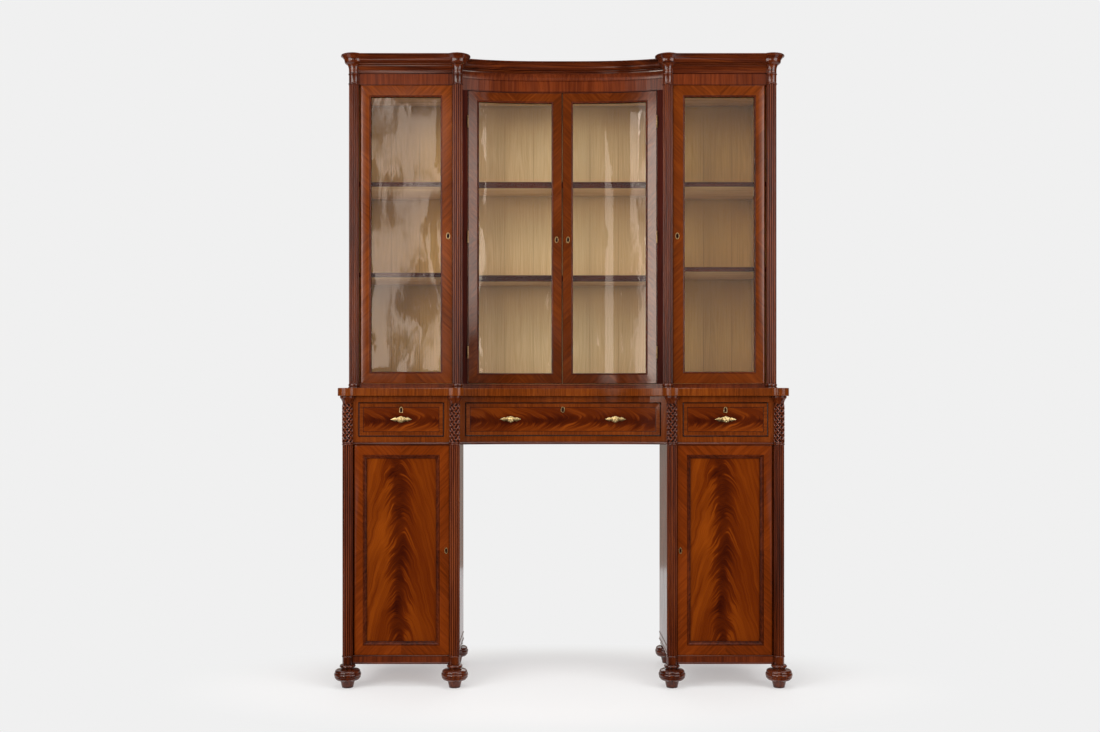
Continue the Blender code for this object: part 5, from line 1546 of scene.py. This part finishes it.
@dataclass
class Fittings:
    """Brass handles and keyhole escutcheons, whose sizes are half their width and half their height."""

    plate: Pair = (0.040, 0.0094)
    plate_quarter: Sequence[Pair] = (
        *((1.0, 0.0), (0.93, 0.16), (0.82, 0.36), (0.70, 0.62), (0.60, 0.80)),
        *((0.52, 0.76), (0.45, 0.58), (0.38, 0.66), (0.30, 0.96), (0.15, 1.0)),
    )
    plate_rows: Sequence[Pair] = mm((0.4, 0.0), (1.4, 0.0), (2.0, 0.8), (2.2, 3.0), (2.7, 4.8))
    knob: Sequence[Pair] = mm(
        *((0.0, 21.8), (2.2, 21.6), (3.6, 20.6), (4.2, 19.2), (5.0, 18.8), (8.5, 18.4)),
        *((11.2, 17.2), (12.3, 15.6), (12.0, 14.0), (10.5, 12.4), (7.6, 10.8), (5.0, 9.2)),
        *((4.4, 7.0), (5.2, 4.6), (7.2, 3.4), (7.6, 2.8), (7.6, 2.0), (0.0, 2.0)),
    )
    handle_level: float = 1.006
    centre_handle: float = 0.202
    lock_level: float = 1.0425
    drawer_lock: Pair = (0.0068, 0.0112)
    wide_drawer_lock: Pair = (0.0074, 0.0115)
    door_lock_level: float = 1.718
    wing_lock_place: float = 0.4455
    wing_lock: Pair = (0.0078, 0.0126)
    centre_lock_place: float = 0.0225
    centre_lock: Pair = (0.0070, 0.0126)
    pedestal_lock_level: float = 0.5125
    pedestal_lock_place: float = 0.4405
    pedestal_lock: Pair = (0.0060, 0.0115)
    proud: float = 0.0006
    ring: float = 0.0022
    petals: int = 8
    petal: Point = (0.0042, 0.0026, 0.0018)

    @property
    def finishes(self) -> list[Material]:
        """The brass, and near-black wood painted as the shade inside a keyhole."""
        return [Brass().material(), DARK_LINE_AND_SHADE.material()]

    def build(self) -> None:
        """Makes four handles and nine escutcheons."""
        lower, upper = PLAN.lower_front, PLAN.upper_front
        high = self.door_lock_level
        for side, sign in SIDES.items():
            x, drawer = sign * PLAN.wing_middle, f"small_drawer_{side}"
            self._handle(f"handle_{side}", drawer, Seat(x, lower, self.handle_level))
            seat = Seat.on_hollow(sign * self.centre_handle, lower, self.handle_level)
            self._handle(f"handle_centre_{side}", "centre_drawer", seat)
            seat = Seat(x, lower - self.proud, self.lock_level)
            self._lock(drawer, seat, *self.drawer_lock, square=True)
            self._lock(f"wing_door_{side}", Seat(sign * self.wing_lock_place, upper, high), *self.wing_lock)
            x = sign * self.centre_lock_place
            self._lock(f"centre_door_{side}", Seat(x, PLAN.hollow(x, upper), high), *self.centre_lock)
            seat = Seat(sign * self.pedestal_lock_place, lower, self.pedestal_lock_level)
            self._lock(f"pedestal_door_{side}", seat, *self.pedestal_lock)
        seat = Seat(0.0, PLAN.hollow(0, lower) - self.proud, self.lock_level)
        self._lock("centre_drawer", seat, *self.wide_drawer_lock)

    @staticmethod
    def _oval(half: float, rise: float, square: bool) -> list[Pair]:
        """Returns an escutcheon's outline: an oval, or one cut square at its foot."""
        points = []
        for index in range(32):
            angle = math.tau * (index + 0.5) / 32
            across, up = math.cos(angle), math.sin(angle)
            reach = 1 / max(abs(across), abs(up)) if square and up < 0 else 1
            points.append((half * across * reach, rise * up * reach))
        return points

    def _lock(self, body: str, seat: Seat, half: float, rise: float, square: bool = False) -> None:
        """Lets a brass ring into a front, with a dark oval painted as its keyhole's shade.

        Args:
            body: The door or drawer that it rides on.
            seat: Where it lies.
            half: Half of its width.
            rise: Half of its height.
            square: Whether its foot is square.
        """
        shape = Shape(f"{body}_escutcheon")
        width, low, high, ease, sunk = self.ring, 0.0006, 0.0010, 0.0004, 0.00035

        def ring(out: float, inset: float) -> list[Point]:
            return [seat.place(x, y, out) for x, y in self._oval(half - inset, rise - inset, square)]

        rows = ((0.0, 0.0), (low, 0.0), (high, ease), (high, width - ease), (low, width), (0.0, width))
        shape.loft([ring(*row) for row in rows], looped=True)
        # A thin dark oval: painted shade for the keyhole.
        shape.loft([ring(0.0, width), ring(sunk, width)], plain(slot=1))
        shape.finish(body, self.finishes)

    def _outline(self, inset: float) -> list[Pair]:
        """Returns the leaf plate's outline, drawn in by an inset."""
        half, rise = self.plate[0] - inset * 1.6, self.plate[1] - inset
        points = [(x * half, y * rise) for x, y in self.plate_quarter]
        upper = [*points, *((-x, y) for x, y in reversed(points))]
        return [*upper, *((-x, -y) for x, y in points[1:]), *((x, -y) for x, y in reversed(points[1:]))]

    def _handle(self, node: str, body: str, seat: Seat) -> None:
        """Makes a leaf plate with its turned knob and rosette."""
        shape = Shape(f"brass_{node}")
        rings = []
        for out, inset in self.plate_rows:
            rings.append([seat.place(x, y, out) for x, y in self._outline(inset)])
        shape.loft(rings)
        shape.lathe(self.knob, seat.place, 32)
        mesh = self._rosette()
        for vertex in mesh.vertices:
            vertex.co = seat.place(*vertex.co)
        shape.take_mesh(mesh)
        shape.finish(body, self.finishes, [node])

    def _rosette(self) -> bpy.types.Mesh:
        """Rings the knob's face with petals."""
        tree = Tree("rosette", petals=self.petals, circle=0.0078, out=0.0176)
        count, circle, out = tree.inputs
        petal = tree.node("GeometryNodeMeshUVSphere", {"Segments": 8, "Rings": 6, "Radius": 1.0})
        angle = tree.index / count * math.tau
        turn = tree.turn((0.0, 0.0, 1.0), angle)
        return tree.stand(petal, count, tree.circle(angle, circle, out), Rotation=turn, Scale=self.petal)


@dataclass
class Studio:
    """Plain pale floor, soft lamps, cards that only reflections meet, and the photograph's camera."""

    backdrop: Rgb = (240, 240, 240)
    card_tone: Rgb = (244, 228, 214)
    camera_place: Point = (-0.071, -4.56, 1.050)
    lens: float = 37.86
    shift: Pair = (0.00505, 0.038)
    floor_share: float = 0.62
    floor_glow: float = 0.37
    flag_glow: float = 0.014
    cards_y: float = -5.1
    vase: Sequence[Pair] = (
        *((-0.31, 3.4), (-0.25, 3.4), (-0.19, 2.75), (-0.22, 2.5), (-0.13, 2.1)),
        *((-0.13, 1.2), (-0.44, 1.2), (-0.44, 2.1), (-0.34, 2.5), (-0.37, 2.75)),
    )

    def build(self) -> None:
        """Sets the floor, the world, the lamps, the cards and the camera."""
        self._floor()
        self._world()
        for side, sign in SIDES.items():
            soft, strong = 47.0 - sign * 4.0, 210.0 - sign * 70.0
            self._lamp(f"softbox_{side}", (sign * 2.7, -2.35, 2.1), (0.0, 0.0, 1.6), (1.9, 1.9), soft)
            self._lamp(f"strip_{side}", (sign * 5.5, -12.0, 3.4), (0.0, 0.0, 2.0), (1.9, 4.4), strong)
            edge = ((-1.5, 0), (2.8, 0), (2.8, 4.4), (-1.5, 4.4))
            self._card(f"side_flag_{side}", [(sign * 3.7, y, z) for y, z in edge])
        self._lamp("overhead", (0.0, -1.0, 4.2), (0.0, 0.0, 1.0), (2.4, 1.6), 30.0)
        self._lamp("back_fill", (0.0, 2.4, 1.6), (0.0, 0.0, 0.0), (2.0, 1.0), 14.0)
        self._card("dark_flag", self._upright((-3.6, 3.8), (0.0, 8.0), -12.2))
        self._card("low_flag_left", self._upright((-9.0, -3.5), (0.0, 1.35), -11.8))
        self._card("low_flag_right", self._upright((3.5, 9.0), (0.0, 2.3), -11.8))
        self._card("back_card", self._upright((-2.5, 2.5), (0.0, 1.6), 3.0), 0.42)
        cloth = ((-3.6, -12.2), (3.6, -12.2), (1.9, -0.26), (-1.9, -0.26))
        self._card("floor_cloth", [(x, y, 0.002) for x, y in cloth])
        near = self.cards_y
        self._card("left_reflector", self._upright((-1.52, -0.92), (1.36, 3.6), near), 4.0, 0.95)
        self._card("middle_reflector", [(x, near, z) for x, z in self.vase], 3.4)
        self._card("right_reflector", self._upright((1.12, 1.66), (1.36, 3.58), near), 0.28)
        self._card("right_falloff", self._upright((1.66, 1.90), (0.6, 3.9), near), 0.10)
        self._camera()
        bpy.context.scene.view_settings.view_transform = "Standard"

    @staticmethod
    def _upright(across: Pair, levels: Pair, y: float) -> list[Point]:
        """Returns the corners of an upright card that faces the object."""
        (x0, x1), (z0, z1) = across, levels
        return [(x0, y, z0), (x1, y, z0), (x1, y, z1), (x0, y, z1)]

    def _card(
        self, name: str, corners: Sequence[Point], glow: float | None = None, shade: float = 0.0
    ) -> None:
        """Sets up a card that only reflections meet: a dark flag, or a white one that glows.

        Args:
            name: Its name.
            corners: Its corners in order.
            glow: How bright it looks beside the backdrop, or None for a flag.
            shade: How far shadows on it darken it in patches.
        """
        mesh = bpy.data.meshes.new(name)
        mesh.from_pydata(corners, [], [tuple(range(len(corners)))])
        card = put(name, mesh)
        card.visible_camera = card.visible_shadow = card.visible_diffuse = card.visible_transmission = False
        graph = Graph(name)
        tone: object = linear(self.card_tone)
        if shade:
            patches = graph.noise(graph.place(Grain.UPRIGHT), (1.7, 4.2, 0.0), 6, 0.8)
            light = graph.ease(patches, 0.42, 0.56, 1.0 - shade, 1.0)
            tone = graph.mix(1.0, tone, graph.vector(light, light, light), "MULTIPLY")
        glowing = {"Emission Color": tone, "Emission Strength": self.flag_glow if glow is None else glow}
        mesh.materials.append(graph.show({"Base Color": (0.0, 0.0, 0.0, 1.0), GLOSS: 0.0, **glowing}))

    def _floor(self) -> None:
        """Lays the floor, whose far parts match the backdrop."""
        mesh = bpy.data.meshes.new("studio_floor")
        builder = bmesh.new()
        bmesh.ops.create_circle(builder, cap_ends=True, segments=64, radius=30)
        builder.to_mesh(mesh)
        builder.free()
        floor = put("studio_floor", mesh)
        graph = Graph("studio_floor")
        share, lit = ((value, value, value, 1.0) for value in (self.floor_share, self.floor_glow))
        graph.show({"Base Color": share, "Roughness": 0.9, GLOSS: 0.0})
        graph.show({"Emission Color": lit, "Emission Strength": 1.0})
        feeds = {0: graph.where, 1: (0.62, 1.3, 1.0), 2: (0.0, 0.2, 0.0)}
        squeezed = graph.node("ShaderNodeVectorMath", feeds, operation="MULTIPLY_ADD")
        distance = graph.node("ShaderNodeVectorMath", {0: squeezed}, "Value", operation="LENGTH")
        backdrop = graph.node("ShaderNodeEmission", {"Color": linear(self.backdrop), "Strength": 1.0})
        mesh.materials.append(graph.give_way(graph.ease(distance, 0.49, 1.0), backdrop))

    def _world(self) -> None:
        """Shows the backdrop to the camera, glass and metal, and lights softly from all round."""
        world = bpy.data.worlds.new("studio")
        bpy.context.scene.world = world
        world.use_nodes = True
        nodes = Nodes(world.node_tree)
        inputs = nodes.tree.nodes["Background"].inputs
        seen = nodes.either_ray("Camera", "Transmission", "Glossy")
        nodes.feed(inputs["Color"], linear(self.backdrop))
        strength = nodes.node("ShaderNodeMapRange", {"Value": seen, "To Min": 0.50, "To Max": 1.0})
        nodes.feed(inputs["Strength"], strength)

    def _lamp(self, name: str, place: Point, aim: Point, size: Pair, power: float) -> None:
        """Hangs a rectangular soft lamp that points at a place; the strong ones have the cards' tone."""
        lamp = bpy.data.lights.new(name, "AREA")
        lamp.shape = "RECTANGLE"
        lamp.size, lamp.size_y = size
        lamp.energy = power
        lamp.color = linear(self.card_tone)[:3] if power > 100 else (1.0, 1.0, 1.0)
        made = put(name, lamp)
        made.visible_camera = False
        made.location = place
        made.rotation_euler = (Vector(aim) - Vector(place)).to_track_quat("-Z", "Y").to_euler()

    def _camera(self) -> None:
        """Stands the camera where the photograph was taken from."""
        camera = bpy.data.cameras.new("photograph")
        camera.lens = self.lens
        camera.sensor_width = 36
        camera.shift_x, camera.shift_y = self.shift
        made = put("photograph", camera)
        made.location = self.camera_place
        made.rotation_euler = (QUARTER, 0, 0)
        bpy.context.scene.camera = made


def main() -> None:
    """Builds every piece in order, then the studio."""
    logging.basicConfig(level=logging.INFO, format="%(message)s")
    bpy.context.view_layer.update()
    lower = (TurnedFeet, Columns, Pedestals, DrawerSection, WaistBoard)
    upper = (UpperPart, Cornice, GlazedDoors, Fittings)
    for kind in (*lower, *upper):
        LOG.info("%s", kind.__name__)
        kind().build()
    Studio().build()


if __name__ == "__main__":
    main()
